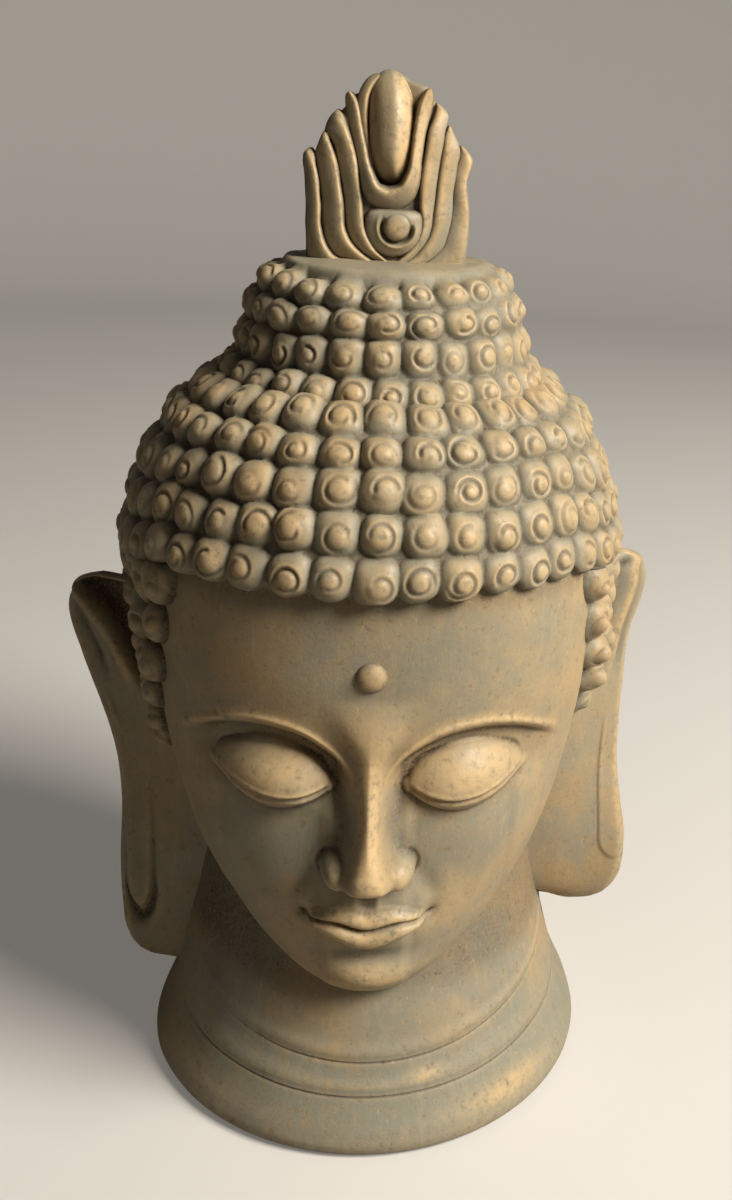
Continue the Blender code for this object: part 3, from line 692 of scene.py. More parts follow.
flameShape = {
    # edges that neighbouring locks share, from the foot up, as (height, x) in mm, from left to right
    "edges": (
        ((415, -33.1), (430, -33.3), (445, -33.7), (455, -34.4), (461, -34.9)),
        ((415, -13), (417.6, -17.5), (418.6, -19.9), (421, -22.3), (424.7, -24.8), (432, -26.6),
         (442, -27), (451.9, -28.1), (459, -29.4)),
        ((415, 0), (417.8, -3.5), (419.7, -6.7), (424, -12.2), (429.2, -15.2), (437, -16.5),
         (445.8, -17.5), (458.8, -19.7), (469, -23.2)),
        ((415, 6), (418.4, 2), (420.9, -1.2), (426, -5.2), (432.8, -7.7), (442.8, -8.6), (452.7, -10.1),
         (465.6, -12.4), (476, -16)),
        ((415, 3), (418.4, 7.4), (420.9, 10.5), (426, 14.4), (432.8, 16.9), (442.8, 15.8), (452.7, 15.8),
         (462.5, 17.2), (468.6, 18), (475, 18.9), (481, 20.8)),
        ((415, 7), (418.5, 12.5), (424, 17.6), (432, 21.2), (442, 22.4), (452, 23.2), (462.5, 24.3),
         (468.6, 25.1), (474.8, 26.2)),
        ((415, 15), (417.8, 20), (422, 25), (430, 28.6), (440, 30.2), (452, 30.8), (460, 31.6)),
        ((415, 36.4), (424, 37.2), (433, 38), (442.3, 37.3), (449, 36.4), (453.5, 36.4), (459, 37.9)),
    ),
    "widen": (2.5, 1.04),   # all of it is stretched sideways from this x in mm
    "relief": (0.0050, 0.0017),   # how high the locks on the left and on the right stand
    # each lock: its two edges, how each goes on to the tip, and where its crest runs across it
    "locks": (
        (0, 1, ((463.4, -34.4), (465, -32.8)), ((462.5, -30), (465, -31.6)), 0.80),
        (1, 2, ((463.6, -30), (467.5, -28.6), (471, -27.2), (472.8, -26.3)),
         ((471.8, -24.4), (472.8, -25.5)), 0.82),
        (2, 3, ((472.6, -25.8), (476, -25.2), (479.4, -23.2), (481.8, -20.9)),
         ((480, -17.9), (481.8, -19.8)), 0.80),
        (4, 5, ((486.5, 22),), ((479, 27.4), (482.5, 27.2), (485, 25), (486.5, 22.8)), 0.30),
        (5, 6, ((477.3, 27.6),), ((466, 32.6), (471, 31.5), (475, 29.6), (477.3, 28.4)), 0.32),
        (6, 7, ((464, 32.6), (468.6, 33.2)), ((462.8, 38.3), (466, 36.6), (468.6, 34)), 0.72),
    ),
    # the cup round the jewel: its middle line as (x, z) and half its width, in mm
    "cup": ((-16, 489.8), (-14.4, 485), (-12.4, 476), (-9.9, 466), (-7.4, 456), (-3.8, 447.6), (3, 444.6),
            (9.2, 447.8), (12.4, 455), (13.6, 463), (14.4, 470.5), (15.6, 478.5), (17.2, 486), (18.8, 492.6)),
    "cupHalfWidth": ((0, 2.2), (0.06, 3.3), (0.20, 2.9), (0.31, 2.8), (0.40, 4.4), (0.50, 6.2), (0.60, 4.4),
                     (0.68, 2.9), (0.80, 2.8), (0.94, 3.4), (1, 2.4)),
    # the plate behind the locks: its left and right edges as (height, x) in mm
    "left": ((415, -32), (455, -32.4), (462, -31.5), (465, -28.8), (470.5, -26.6), (474, -24),
             (480, -21), (483, -17.6), (488, -15.2), (490, -10.4), (494.5, -7.6), (497.5, -4), (499, -0.5)),
    "right": ((415, 35), (440, 36.2), (458, 35), (463, 36.4), (467.5, 33), (471, 30.4), (475, 28.2),
              (481, 26.4), (485, 22.4), (490, 20.2), (493.5, 17.6), (495, 12.4), (497.5, 8), (499, 4.5)),
    "leaf": ((-5, 452), (-8.8, 470), (-9.8, 482), (-8.9, 489.5), (-6, 494.8), (-2.8, 497.6)),
    "jewelFoot": 0.4490,
    "jewelTip": 0.5000,
    "jewelBelly": 0.47,     # where it is thickest, as a share of its height
    "jewelHalfWidth": 0.0113,
    # the cushion at the flame's foot and the boss on it: x, z and radius
    "lobe": (0.0051, 0.4326, 0.0134),
    "lobeTop": 0.4408,
    "boss": (0.0062, 0.4328, 0.0059),
}


def flameAcross(x):
    # a place across the flame in metres, from its design in mm
    middle, stretch = flameShape["widen"]
    return 0.001 * (middle + stretch * (np.asarray(x) - middle))


def flameFront(x, z):
    # how far the flame's crests stand forward: most at the foot of the middle, less at the sides and the tips
    return (0.0196 - 0.0032 * (x / 0.034) ** 2) * (1 - 0.42 * unit((z - 0.417) / 0.078) ** 2)


def tube(path, halfWidth, depth, crestAt, sides=40):
    # a section carried along a path in the XZ plane. Its front slopes down from a crest off the middle,
    # gently on one side and steeply on the other; straight sides run back to a plain rounded rear. halfWidth
    # and depth have a value for each row, depth is half the whole thickness, and crestAt is -1 to 1 across
    along = np.gradient(path, axis=0)
    along /= np.linalg.norm(along, axis=1, keepdims=True)
    across = np.stack([along[:, 1], -along[:, 0]], 1)[:, None]
    turn = fullTurn(sides) + math.pi / 2 + 0.0001
    t = signed(np.cos(turn), 0.9)
    isFront = np.sin(turn) < 0
    far = np.where(t > crestAt, (t - crestAt) / (1 - crestAt), (crestAt - t) / (1 + crestAt))
    steep = np.where(t > crestAt, crestAt > 0, crestAt < 0)
    rear = 1 - dome(t)
    drop = np.where(isFront, np.where(steep, far**2.2, far**1.4) * 0.85 + 0.30 * rear, rear)
    w = halfWidth[:, None]
    y = np.where(isFront, -1.0, 1.0) * np.maximum(depth[:, None] - drop * w, 0.0)
    x, z = np.moveaxis(path[:, None] + (t * w)[..., None] * across, -1, 0)
    points = np.stack([x, y, z], -1)
    crest = bell(t, crestAt, 0.26) * isFront
    hollow = ramp(0.62, 1.0, np.abs(t)) * np.where(steep, 1.0, 0.8)
    return points, {"hollow": 0.9 * hollow, "crest": crest, "valley": 0.6 * hollow}


def alongPath(line, count):
    # evenly spaced points on a smooth curve through the line's stations in mm, and their share of its length
    line = np.array(line, float)
    line = np.column_stack([flameAcross(line[:, 0]), 0.001 * line[:, 1]])
    gone = np.concatenate([[0], np.cumsum(np.linalg.norm(np.diff(line, axis=0), axis=1))])
    share = np.linspace(0, 1, count)
    xs, zs = (smoothCurve(np.column_stack([gone, values]), gone[-1] * share) for values in line.T)
    return np.column_stack([xs, zs]), share


def flameLock(first, second, firstTip, secondTip, crestAt):
    # a closed strip between two shared edges. Its crest falls gently outwards and steeply inwards, to a
    # narrow valley beside its neighbour; its rear is only softly rounded
    f = flameShape
    left, right = f["edges"][first] + firstTip, f["edges"][second] + secondTip
    foot, top = left[0][0], left[-1][0]
    z = stations([(foot, foot + 10, 0.42), (foot + 10, top - 6, 0.95), (top - 6, top, 0.30)])
    left, right = (flameAcross(smoothCurve(line, z))[:, None] for line in (left, right))
    z = z[:, None]
    along = (z - foot) / (top - foot)
    crestAt = crestAt + (0.5 - crestAt) * ramp(top - 9, top, z)
    z = 0.001 * z
    sweep = np.linspace(0, math.pi, 31)
    t = np.concatenate([(1 - np.cos(sweep)) / 2, (1 + np.cos(sweep[2:-2:2])) / 2])[None, :]
    isFront = np.arange(t.size)[None, :] < len(sweep)
    far = np.where(t < crestAt, (crestAt - t) / crestAt, (t - crestAt) / (1 - crestAt))
    gentle = (crestAt > 0.5) == (t < crestAt)
    shape = unit(1 - far ** np.where(gentle, 1.7, 2.2)) ** np.where(gentle, 0.75, 0.55)
    x = left + (right - left) * t
    # the locks on the right, towards the key lamp, are lower; their crests' painted highlight spreads over
    # more of their width, their edges take less painted shade than those on the left, and grey-green bloom
    # lies low in their valleys
    pale = float(first > 3)
    relief = np.minimum(f["relief"][int(pale)], 0.5 * (right - left))
    deep = flameFront(x, z) * (0.50 + 0.50 * dome(along, 14))
    rear = 0.9 * deep - 0.5 * relief * (1 - dome(2 * t - 1))
    points = np.stack([x, np.where(isFront, relief * (1 - shape) - deep, rear), z + 0 * x], -1)
    points = waved(points, gridNormals(points), 0.0004, 0.02, int(10 * top))
    hollow = unit(ramp(0.12, 0.0, t) + ramp(0.88, 1.0, t)) + 0 * x
    # on the lit right side the painted highlight is wider and the painted shade at the edges weaker
    crest = bell(t, crestAt, 0.12 + 0.16 * pale) * isFront
    valley = (0.6 + 0.4 * pale) * hollow + 0.9 * pale * ramp(0.458, 0.424, z) * (1 - 0.7 * crest)
    crest = crest * (1 - 0.5 * pale * ramp(0.445, 0.424, z))
    return capped(points, {"hollow": (0.9 - 0.6 * pale) * hollow, "crest": crest, "valley": unit(valley)})


def flameCup():
    # the ridge that cups the jewel is thicker below it, and its right arm, which faces the key lamp, has a
    # painted highlight over its whole width
    path, share = alongPath(flameShape["cup"], 150)
    fromMiddle = np.abs(2 * share - 1)
    width = 0.001 * smoothCurve(flameShape["cupHalfWidth"], share)
    width = width * np.sqrt(np.clip(1 - fromMiddle**26, 0.0005, 1))
    deep = 0.001 * (21.2 - np.where(share < 0.5, 11.2, 8.2) * ramp(0.16, 1.0, fromMiddle) ** 0.8)
    points, masks = tube(path, width, np.maximum(deep, width), -0.5)
    # painted highlight over the whole width of the right arm, which faces the key lamp
    masks["crest"] = unit(masks["crest"] + 0.7 * ramp(0.58, 0.68, share)[:, None] * (1 - masks["hollow"]))
    return capped(waved(points, gridNormals(points), 0.0004, 0.03, 41), masks)


def flameJewel():
    # a long drop, round in section, with a soft keel down its front, a painted highlight on its right flank,
    # which faces the key lamp, and painted shade on its left flank
    f = flameShape
    rise = stations([(0, 0.04, 0.008), (0.04, 0.9, 0.011), (0.9, 1, 0.006)])[:, None]
    turn = fullTurn(96)
    belly = f["jewelBelly"]
    low = rise < belly
    fromBelly = np.where(low, (belly - rise) / belly, (rise - belly) / (1 - belly))
    radius = f["jewelHalfWidth"] * np.sqrt(np.clip(1 - fromBelly ** np.where(low, 2.5, 2.9), 0.0004, 1))
    lean = 0.0018 + 0.0012 * ramp(1.0, 0.5, rise) + 0.0012 * ramp(0.3, 0.0, rise)
    aside = np.degrees(turn) - 8 - 6 * rise
    y = -radius * (1.95 - 0.75 * rise) * signed(np.cos(turn), 0.8) * (1 + 0.03 * bell(aside, 0, 16))
    z = f["jewelFoot"] + (f["jewelTip"] - f["jewelFoot"]) * rise
    points = np.stack([lean + radius * np.sin(turn), y, z + 0 * turn], -1)
    # painted highlight on the flank facing the key lamp, painted shade on the other flank; darker at the
    # foot, where it stands in the cup
    crest = (0.25 + 0.75 * ramp(-7, 5, aside) * ramp(92, 70, aside)) * ramp(1.0, 0.90, rise)
    hollow = unit(0.8 * ramp(0.16, 0.02, rise) + 0.16 * ramp(0, -14, aside))
    return capped(points, {"hollow": hollow, "crest": crest, "valley": 0 * crest})


def flameLeaf():
    # a narrow leaf stands behind the jewel
    path, share = alongPath(flameShape["leaf"], 60)
    width = 0.0027 * np.sqrt(np.clip(1 - share**9, 0.0005, 1))
    return capped(*tube(path, width, 0.0125 - 0.0045 * share**2, 0.5, 24))


def flamePlate():
    # fills what lies between and behind the locks, and is thinner behind the jewel
    z = stations([(415, 499, 0.8)])
    left, right = (flameAcross(smoothCurve(flameShape[side], z))[:, None] for side in ("left", "right"))
    z = 0.001 * z[:, None]
    turn = fullTurn(128)
    x = (left + right) / 2 + (right - left) / 2 * signed(np.sin(turn), 0.8)
    deep = np.maximum(flameFront(x, z) - 0.0034, 0.005)
    deep = deep * (1 - 0.62 * bell(x, 0.0028, 0.0125) * ramp(0.443, 0.456, z))
    points = np.stack([x, -deep * signed(np.cos(turn), 0.6), z + 0 * turn], -1)
    low = ramp(0.490, 0.470, z)
    return shell(points, {"hollow": 0.2 + 0.5 * low, "crest": 0 * low, "valley": low}, inside=(0, 0, 0.45))


def flameLobe():
    # a low cushion with an off-centre boss, cut round by a groove that is open at the top
    f = flameShape
    x, z, radius = f["lobe"]
    bx, bz, br = f["boss"]
    out = stations([(0.010, 1.0, 0.020), (1.0, 1.6, 0.2)])[::-1, None]
    turn = fullTurn(144) + math.pi
    flat = np.minimum(out, 1.0) + 0 * turn
    # its lower half is round, its upper half squarer and flat on top
    above = np.sin(turn) > 0
    square = (np.abs(np.cos(turn)) ** 4.5 + np.abs(np.sin(turn)) ** 4.5) ** (-1 / 4.5)
    reach = flat * np.where(above, square, 1.0)
    px = x + radius * reach * np.cos(turn)
    pz = z + np.where(above, f["lobeTop"] - z, radius) * reach * np.sin(turn)
    apart = np.hypot(px - bx, pz - bz) / br
    fromTop = np.abs((np.degrees(np.arctan2(pz - bz, px - bx)) - 78 + 180) % 360 - 180)
    closed = ramp(58, 92, fromTop)
    groove = bell(apart, 1.12, 0.17) * closed
    ledge = bell(apart, 1.50, 0.18) * closed
    height = 0.0046 * dome(flat, 3.6) - 0.0024 * groove + 0.0006 * ledge + 0.0026 * dome(apart, 2.2)
    height = height + 0.0012 * bell(fromTop, 0, 60) * bell(apart, 1.15, 0.35)
    points = np.stack([px, 0.014 * unit(out - 1) - 0.0160 - height, pz], -1)
    hollow = unit(0.9 * groove + ramp(0.86, 1.0, flat))
    crest = unit(0.8 * dome(apart) ** 2 + 0.5 * ledge)
    valley = unit(0.4 * hollow + 0.6 * (1 - crest))
    return capped(points, {"hollow": hollow, "crest": crest, "valley": valley})


def makeFlame(material):
    # the locks on both sides, then what stands between them and the plate behind
    shells = [flameLock(*lock) for lock in flameShape["locks"]]
    shells += [flameCup(), flameJewel(), flameLeaf(), flamePlate(), flameLobe()]
    makePiece("flame", shells, material)


earShape = {
    # root is where it leaves the head along Y, turn its angle in degrees at the top and at the lobe
    -1: {
        "name": "right_ear",
        "root": -0.018, "turn": (24.0, 11.0), "bottom": 0.0378, "top": 0.2575,
        "edge": ((0.0378, 0.1010), (0.0386, 0.1125), (0.0410, 0.1206), (0.0456, 0.1264), (0.0535, 0.1303),
                 (0.0700, 0.1318), (0.0989, 0.1325), (0.1343, 0.1310), (0.1632, 0.1335), (0.1855, 0.1402),
                 (0.2128, 0.1490), (0.2440, 0.1534), (0.2540, 0.1460), (0.2575, 0.1360)),
        # across the ear, 0 at the head and 1 at its edge: the fold that runs down from the upper corner
        "fold": ((0.180, 0.44), (0.1954, 0.48), (0.2185, 0.54), (0.2359, 0.69), (0.2500, 0.97)),
        "hollow": 0.0130, "hollowFoot": 0.196,
        "dip": 0.0020,
        "scar": 0.0011,
        # the lobe's tongue: its middle across, the height of its rounded end, its half width and that end's
        # length. After it how far it rises and the groove round it, each with its place, width and fade
        "tongue": (0.77, 0.0860, 0.155, 0.0215),
        "tongueRise": (0.0016, (1.0, 0.55), (0.150, 0.100)),
        "groove": (0.0034, 1.0, 0.26, (0.096, 0.066)),
        "lift": (0.55, 0.0),    # across the lobe, from here on its lower edge rises
    },
    1: {
        "name": "left_ear",
        "root": -0.010, "turn": (38.0, 1.0), "bottom": 0.0735, "top": 0.2700,
        "edge": ((0.0735, 0.1130), (0.0748, 0.1225), (0.0772, 0.1290), (0.0816, 0.1342), (0.0890, 0.1386),
                 (0.0985, 0.1404), (0.1100, 0.1406), (0.1489, 0.1350),
                 (0.1785, 0.1340), (0.2234, 0.1364), (0.2580, 0.1428), (0.2665, 0.1384), (0.2700, 0.1310)),
        "fold": ((0.180, 0.62), (0.2052, 0.66), (0.2418, 0.70), (0.2612, 0.78), (0.2700, 0.90)),
        "hollow": 0.0022, "hollowFoot": 0.200,
        "dip": 0.0008,
        "scar": 0.0,
        "tongue": (0.90, 0.1150, 0.155, 0.0135),
        "tongueRise": (0.0006, (1.03, 0.92), (0.184, 0.166)),
        "groove": (0.00015, 1.05, 0.05, (0.182, 0.165)),
        "lift": (0.90, 0.30),
    },
    "thickness": 0.0120,
    "wall": 0.0040,
    "lobeLift": 0.0048,     # the lobe's lower edge rises towards the neck
    "rootLine": ((0.02, 0.094), (0.05, 0.086), (0.10, 0.078), (0.15, 0.084), (0.20, 0.094), (0.30, 0.096)),
}


def earRelief(side, across, z):
    # what the front of the ear adds to a plain plate: upper hollow, its sharp fold, lobe groove and tongue
    ear = earShape[side]
    fold = smoothCurve(ear["fold"], z)
    height = ramp(ear["hollowFoot"], ear["hollowFoot"] + 0.020, z)
    hollow = ear["hollow"] * ramp(0.0, 0.13, fold - across) * height
    hollow = hollow * ramp(ear["top"] - 0.0015, ear["top"] - 0.0065, z)
    lip = 0.0020 * bell(across, fold + 0.035, 0.06) * height
    dip = ear["dip"] * bell(across, 0.5 * (fold + 1.0) + 0.02, 0.07)
    dip = dip * ramp(0.196, 0.215, z) * ramp(0.246, 0.228, z)
    middle, endCentre, half, endLength = ear["tongue"]
    apart = np.hypot((across - middle) / half, unit(endCentre - z) / endLength)
    depth, centre, width, fade = ear["groove"]
    groove = depth * bell(apart, centre, width) * ramp(*fade, z)
    rise, edge, fade = ear["tongueRise"]
    tongue = rise * ramp(*edge, apart) * ramp(*fade, z)
    scar = ear["scar"] * bell(across, 0.84, 0.035) * bell(z, 0.1835, 0.007)
    swell = 0.0014 * bell(across, 0.42, 0.22) * ramp(0.150, 0.100, z)
    return swell + lip + tongue + scar - hollow - dip - groove


def makeEar(side, material):
    # a long upright plate that turns backwards as it rises; rows go up, columns run over the front to the
    # edge and back behind it
    ear = earShape[side]
    bottom, top = ear["bottom"], ear["top"]
    z = stations([(bottom, bottom + 0.006, 0.0004), (bottom + 0.006, top - 0.010, 0.0012),
                  (top - 0.010, top, 0.0006)])[:, None]
    share = (z - bottom) / (top - bottom)
    high, low = ear["turn"]
    turn = np.radians(low + (high - low) * ramp(0.10, 0.80, share))
    root = smoothCurve(earShape["rootLine"], z)
    width = (smoothCurve(ear["edge"], z) - root) / np.cos(turn)
    front = stations([(0, 0.30, 0.030), (0.30, 0.90, 0.0125), (0.90, 1.0, 0.010)])
    across = np.concatenate([front, stations([(1.0, 0.90, 0.012), (0.90, 0.0, 0.06)])[1:]])[None, :]
    isFront = (np.arange(across.shape[1]) < len(front))[None, :]
    end = dome(2 * share - 1, 18)
    rim = dome(unit((across - 0.90) / 0.10))
    half = earShape["thickness"] / 2 * end * rim
    relief = earRelief(side, across, z) * end * ramp(1.0, 0.95, across)
    backHollow = 0.0030 * bell(across, 0.45, 0.25) * ramp(0.12, 0.16, z) * end
    # the rear lies at least a thin wall behind the front, also where the front is hollowed
    rear = np.minimum(backHollow - half, half + relief - earShape["wall"] * end * rim)
    forward = np.where(isFront, half + relief, rear)
    x = side * (root + across * width * np.cos(turn) + forward * np.sin(turn))
    y = ear["root"] + across * width * np.sin(turn) - forward * np.cos(turn)
    lifted = z + earShape["lobeLift"] * ramp(*ear["lift"], across) * ramp(0.14, 0.0, share)
    # the columns of the right ear run the other way, so that its faces point outwards too
    points = np.stack([x, y, lifted], -1)[:, ::side]
    points = waved(points, gridNormals(points), 0.0005, 0.05, 61 + side)
    masks = wearMasks(points, fine=1, broad=4)
    deep = (ramp(0.0, 0.006, -relief) * isFront)[:, ::side]
    nearFold = bell(across, smoothCurve(ear["fold"], z) + 0.04, 0.05)
    ridge = (nearFold * ramp(ear["hollowFoot"] - 0.010, ear["hollowFoot"] + 0.020, z) * isFront)[:, ::side]
    masks["hollow"] = unit(0.8 * masks["hollow"] + 0.8 * deep)
    masks["crest"] = unit(masks["crest"] + 0.8 * ridge)
    masks["valley"] = unit(deep + 0.8 * ramp(0.222, 0.246, z) * (1 - ridge)) * (side > 0)
    ends = np.stack([points[0].mean(0), points[-1].mean(0)])
    makePiece(ear["name"], [shell(points, masks, inside=ends)], material)


def makeDot(material):
    # the small raised dot on the forehead: a flattened ball, half sunk
    f = faceShape
    latitude = np.radians(np.linspace(-88, 88, 34))[:, None]
    turn = fullTurn(48)
    r = f["dotRadius"]
    z = f["dotHeight"] + r * np.sin(latitude) + 0 * turn
    front = 0.0008 - smoothCurve(headShape["front"], f["dotHeight"])
    y = front - 0.60 * r * np.cos(latitude) * np.cos(turn)
    stands = ramp(0.0, 0.004, front - y)
    masks = {"hollow": 1 - stands, "crest": 0.6 * stands, "valley": 0 * stands}
    points = np.stack([r * np.cos(latitude) * np.sin(turn), y, z], -1)
    makePiece("forehead_dot", [capped(points, masks)], material)


def put(tree, kind, inputs, **settings):
    # adds a shader node, sets or links its inputs, and returns its outputs
    item = tree.nodes.new("ShaderNode" + kind)
    for key, value in settings.items():
        setattr(item, key, value)
    for key, value in inputs.items():
        if isinstance(value, bpy.types.NodeSocket):
            tree.links.new(value, item.inputs[key])
        else:
            item.inputs[key].default_value = value
    return item.outputs


def blendColour(tree, share, first, second):
    # the first colour at share 0, the second at share 1
    return put(tree, "Mix", {0: share, 6: first, 7: second}, data_type="RGBA")[2]


def calculate(tree, operation, *values):
    # the values added, multiplied and so on, one after another; sums and differences are held between 0 and 1
    held = operation in ("ADD", "SUBTRACT")
    total = values[0]
    for value in values[1:]:
        total = put(tree, "Math", {0: total, 1: value}, operation=operation, use_clamp=held)[0]
    return total


def spread(tree, value, low, high):
    # the smooth rise of ramp, from 0 at low to 1 at high, as a node
    return put(tree, "MapRange", {0: value, 1: low, 2: high}, interpolation_type="SMOOTHSTEP")[0]


def cloudy(tree, place, scale, detail, roughness=0.55):
    # clouds about 1/scale metres wide
    values = {"Vector": place, "Scale": scale, "Detail": detail, "Roughness": roughness}
    return put(tree, "TexNoise", values)[0]


def newGroup(name, inputs, outputs):
    # an empty node group, its given sockets and its result sockets
    tree = bpy.data.node_groups.new(name, "ShaderNodeTree")
    for key, value in inputs.items():
        tree.interface.new_socket(key, in_out="INPUT", socket_type="NodeSocketFloat").default_value = value
    for key, kind in outputs.items():
        tree.interface.new_socket(key, in_out="OUTPUT", socket_type="NodeSocket" + kind)
    return tree, tree.nodes.new("NodeGroupInput").outputs, tree.nodes.new("NodeGroupOutput").inputs


coatColours = {
    "umber": (0.070, 0.047, 0.026, 1),
    "khaki": (0.400, 0.290, 0.160, 1),
    "stone": (0.350, 0.290, 0.190, 1),
    "verdigris": (0.262, 0.262, 0.205, 1),
    "cream": (0.690, 0.480, 0.240, 1),
}


def makeCoat():
    # brown glaze left in the hollows, grey-green bloom beside it, and cream rubbed over what stands out.
    # Hollow also carries painted shade on the side away from the key lamp, and Crest painted highlights on
    # the side facing it
    tree, given, result = newGroup(
        "agedCoat",
        {"Hollow": 0.0, "Crest": 0.0, "Valley": 0.0, "Bloom": 0.5, "Rub": 0.5, "Brushed": 0.3, "Warmth": 0.3},
        {"Color": "Color", "Roughness": "Float", "Height": "Float"})

    def plus(*values):
        return calculate(tree, "ADD", *values)

    def times(*values):
        return calculate(tree, "MULTIPLY", *values)

    c = coatColours
    place = put(tree, "TexCoord", {})["Object"]
    cloud = cloudy(tree, place, 13.0, 3.0)
    blotch = cloudy(tree, place, 55.0, 6.0, 0.62)
    mottle = cloudy(tree, place, 260.0, 5.0, 0.65)
    grain = cloudy(tree, place, 750.0, 4.0, 0.7)
    patches = cloudy(tree, place, 24.0, 4.0, 0.6)
    stretched = put(tree, "Mapping", {"Vector": place, "Scale": (190.0, 190.0, 42.0)})[0]
    strokes = cloudy(tree, stretched, 1.0, 5.0, 0.65)
    fineStrokes = put(tree, "Mapping", {"Vector": place, "Scale": (640.0, 640.0, 240.0)})[0]
    nicks = spread(tree, cloudy(tree, fineStrokes, 1.0, 2.0, 0.5), 0.655, 0.72)
    # the ground: khaki and stone in clouds, with warm blotches
    colour = blendColour(tree, spread(tree, cloud, 0.36, 0.64), c["khaki"], c["stone"])
    colour = blendColour(tree, times(spread(tree, blotch, 0.30, 0.62), given["Warmth"]), colour, c["cream"])
    # the bloom, in patches and in the valleys
    bloom = plus(times(spread(tree, patches, 0.40, 0.62), 0.8), given["Valley"])
    bloom = times(bloom, spread(tree, mottle, 0.16, 0.58), spread(tree, strokes, 0.20, 0.52), given["Bloom"])
    colour = blendColour(tree, bloom, colour, c["verdigris"])
    # the glaze, in the hollows and in specks and flecks
    stain = times(given["Hollow"], spread(tree, grain, 0.15, 0.60))
    specks = times(spread(tree, grain, 0.42, 0.26), 0.55)
    flecks = times(spread(tree, mottle, 0.44, 0.28), 0.34)
    stain = plus(stain, calculate(tree, "MAXIMUM", specks, flecks))
    colour = blendColour(tree, stain, colour, c["umber"])
    # the rubbed and brushed places, and the nicks
    brush = times(spread(tree, strokes, 0.46, 0.70), given["Brushed"], 0.5)
    rubbed = plus(times(given["Crest"], spread(tree, mottle, 0.32, 0.58)), brush)
    rubbed = times(rubbed, given["Rub"], calculate(tree, "SUBTRACT", 1.0, given["Hollow"]))
    colour = blendColour(tree, rubbed, colour, c["cream"])
    colour = blendColour(tree, times(nicks, times(given["Brushed"], 0.7)), colour, c["cream"])
    tree.links.new(colour, result["Color"])
    rough = plus(0.50, times(stain, 0.30), times(spread(tree, blotch, 0.35, 0.70), 0.16))
    tree.links.new(calculate(tree, "SUBTRACT", rough, times(rubbed, 0.10)), result["Roughness"])
    tree.links.new(plus(times(grain, 0.35), times(strokes, 0.25), times(mottle, 0.40)), result["Height"])
    return tree


# the same under every coat, and how deep the fine relief would be at strength 1
shine = {"Metallic": 0.0, "Specular IOR Level": 0.45, "Coat Weight": 0.06, "Coat Roughness": 0.35}
reliefDepth = 0.0008


def makeFinish(name, coat, look):
    # look gives the coat's strengths and the strength of the fine relief
    material = bpy.data.materials.new(name)
    material.use_nodes = True
    tree = material.node_tree
    shader = tree.nodes["Principled BSDF"]
    group = tree.nodes.new("ShaderNodeGroup")
    group.node_tree = coat
    for key in ("Hollow", "Crest", "Valley"):
        tree.links.new(put(tree, "Attribute", {}, attribute_name=key.lower())["Fac"], group.inputs[key])
    for key in ("Bloom", "Rub", "Brushed", "Warmth"):
        group.inputs[key].default_value = look[key.lower()]
    tree.links.new(group.outputs["Color"], shader.inputs["Base Color"])
    tree.links.new(group.outputs["Roughness"], shader.inputs["Roughness"])
    relief = {"Height": group.outputs["Height"], "Strength": look["relief"], "Distance": reliefDepth}
    tree.links.new(put(tree, "Bump", relief)[0], shader.inputs["Normal"])
    for key, value in shine.items():
        shader.inputs[key].default_value = value
    return material


def addObject(name, data):
    # a new object, linked into the scene
    item = bpy.data.objects.new(name, data)
    bpy.context.scene.collection.objects.link(item)
    return item


cameraView = {
    "place": (0.0, -0.59993, 0.48402),
    "down": 19.046,
    "pan": 4.146,
    "roll": 2.746,
    "lens": 37.57,
    "sensor": 36.0,
    "shift": (-0.0791, -0.0473),
    "nearest": 0.05,
}


def addCamera():
    # looks down on the head from in front, a little turned and tipped
    down, pan, roll = (math.radians(cameraView[key]) for key in ("down", "pan", "roll"))
    forward = Vector((math.sin(pan) * math.cos(down), math.cos(pan) * math.cos(down), -math.sin(down)))
    right = Vector((math.cos(pan), -math.sin(pan), 0.0))
    turned = Matrix((right, right.cross(forward), -forward)).transposed().to_4x4()
    lens = bpy.data.cameras.new("camera")
    lens.lens = cameraView["lens"]
    lens.sensor_width = cameraView["sensor"]
    lens.shift_x, lens.shift_y = cameraView["shift"]
    lens.clip_start = cameraView["nearest"]
    camera = addObject("camera", lens)
    camera.matrix_world = Matrix.Translation(cameraView["place"]) @ turned @ Matrix.Rotation(roll, 4, "Z")
    bpy.context.scene.camera = camera


studio = {
    "bend": 2.6,         # the floor is flat out to here
    "bendRadius": 0.9,
    "wallTop": 3.0,
    "paper": (0.62, 0.60, 0.57, 1),
    "bounced": (0.20, 0.18, 0.15, 1),      # what the paper throws back
    "glow": (0.150, 0.142, 0.130, 1),      # and what it shows by itself
    "middle": (0, 0, 0.26),   # the lamps point here
    # each lamp: its turn from the front towards +X, its height in degrees, distance, size, power and colour
    "lamps": {"keyLamp": (60, 38, 2.2, 0.9, 82, (1.0, 0.94, 0.84)),
              "fillLamp": (-30, 12, 2.4, 1.4, 0.6, (1.0, 0.97, 0.92))},
    "sky": (0.9, 0.93, 1.0, 1),
    "skyStrength": 0.02,
}


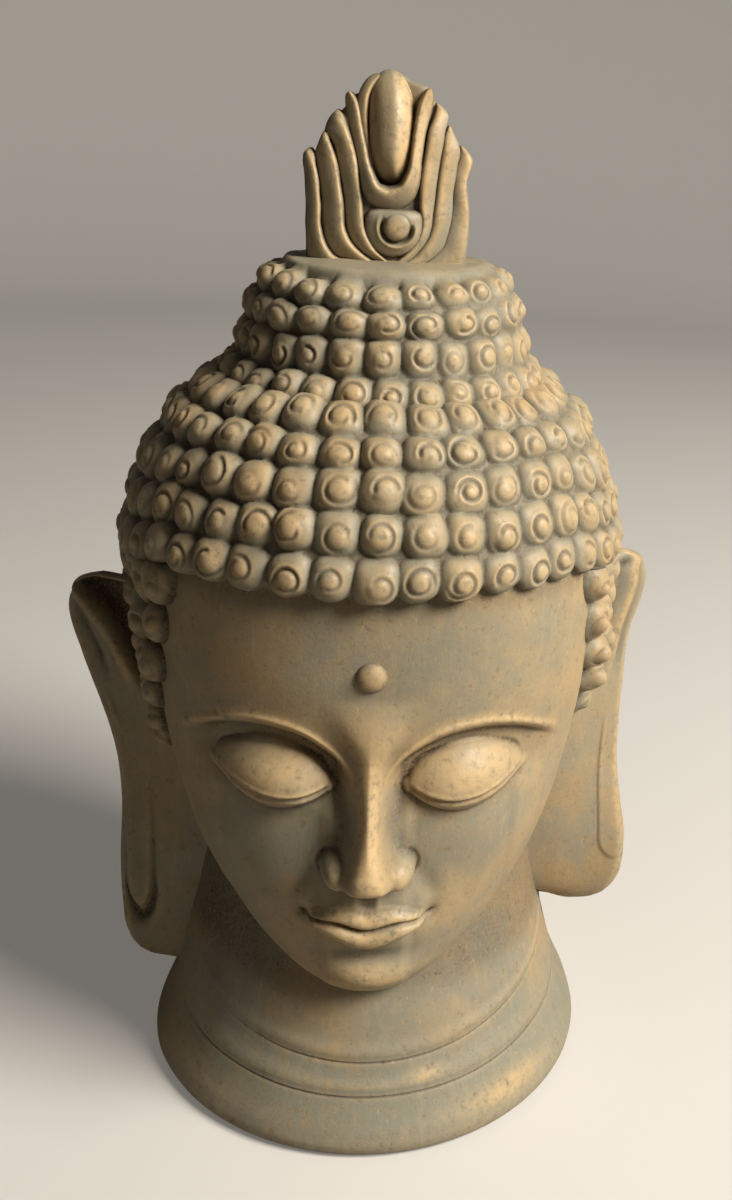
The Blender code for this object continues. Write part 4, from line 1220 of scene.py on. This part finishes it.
def addFloor():
    # a round pale floor that curves up into a wall on all sides. The paper throws back little light, as in a
    # room whose walls are far away
    s = studio
    bend = np.radians(np.linspace(4, 90, 20))
    run = np.concatenate([np.linspace(0.02, s["bend"], 24), s["bend"] + s["bendRadius"] * np.sin(bend),
                          np.full(6, s["bend"] + s["bendRadius"])])
    rise = np.concatenate([np.zeros(24), s["bendRadius"] * (1 - np.cos(bend)),
                           np.linspace(1.1, s["wallTop"], 6)])
    points = around(fullTurn(96), run[:, None], rise[:, None])
    points = np.concatenate([points[:1] * [0, 0, 1], points])
    faces = gridFaces(*points.shape[:2]).reshape(-1, 4)[:, ::-1]
    mesh = bpy.data.meshes.new("floor")
    mesh.from_pydata(points.reshape(-1, 3).tolist(), [], faces.tolist())
    mesh.polygons.foreach_set("use_smooth", np.ones(len(mesh.polygons), bool))
    paint = bpy.data.materials.new("palePaper")
    paint.use_nodes = True
    tree = paint.node_tree
    shader = tree.nodes["Principled BSDF"]
    ray = put(tree, "LightPath", {})
    base = blendColour(tree, ray["Is Diffuse Ray"], s["paper"], s["bounced"])
    tree.links.new(base, shader.inputs["Base Color"])
    glow = blendColour(tree, ray["Is Camera Ray"], (0, 0, 0, 1), s["glow"])
    tree.links.new(glow, shader.inputs["Emission Color"])
    shader.inputs["Roughness"].default_value = 0.9
    shader.inputs["Emission Strength"].default_value = 1.0
    mesh.materials.append(paint)
    addObject("floor", mesh)


def addLights():
    # one large soft square lamp and a faint one opposite, both facing the head, in a faint sky
    for name, (turn, height, distance, size, power, colour) in studio["lamps"].items():
        a, e = math.radians(turn), math.radians(height)
        away = Vector((math.sin(a) * math.cos(e), -math.cos(a) * math.cos(e), math.sin(e)))
        lamp = bpy.data.lights.new(name, "AREA")
        lamp.size = size
        lamp.energy = power
        lamp.color = colour
        item = addObject(name, lamp)
        item.location = Vector(studio["middle"]) + away * distance
        item.rotation_euler = away.to_track_quat("Z", "Y").to_euler()
    world = bpy.data.worlds.new("studio")
    world.use_nodes = True
    background = world.node_tree.nodes["Background"]
    background.inputs["Color"].default_value = studio["sky"]
    background.inputs["Strength"].default_value = studio["skyStrength"]
    bpy.context.scene.world = world
    bpy.context.scene.view_settings.view_transform = "Standard"


coat = makeCoat()
looks = {
    "skin": {"bloom": 0.85, "rub": 0.75, "brushed": 0.40, "warmth": 0.25, "relief": 0.40},
    "curls": {"bloom": 0.85, "rub": 0.56, "brushed": 0.15, "warmth": 0.12, "relief": 0.50},
    "foot": {"bloom": 1.00, "rub": 0.70, "brushed": 0.40, "warmth": 0.00, "relief": 0.45},
    "flame": {"bloom": 0.80, "rub": 0.75, "brushed": 0.20, "warmth": 0.05, "relief": 0.50},
    "ears": {"bloom": 0.95, "rub": 0.50, "brushed": 0.40, "warmth": 0.04, "relief": 0.40},
}
finishes = {key: makeFinish(key + "_coat", coat, look) for key, look in looks.items()}
print("finishes made")

hair = hairTable()
rows = hairShape["upperEdges"]
makeFace(finishes["skin"])
makeDot(finishes["skin"])
makeNeck(finishes["foot"])
makeHairBand("hair_lower_rows", rows[0], rows[2], hair, finishes["curls"], True)
makeHairBand("hair_upper_rows", rows[2], hairShape["top"], hair, finishes["curls"], False)
makeLowerHair(hair, finishes["curls"])
makeTopknot(finishes["curls"])
makeFlame(finishes["flame"])
for earSide in (-1, 1):
    makeEar(earSide, finishes["ears"])
print("pieces made")

addCamera()
addFloor()
addLights()
print("camera, floor and lights placed")
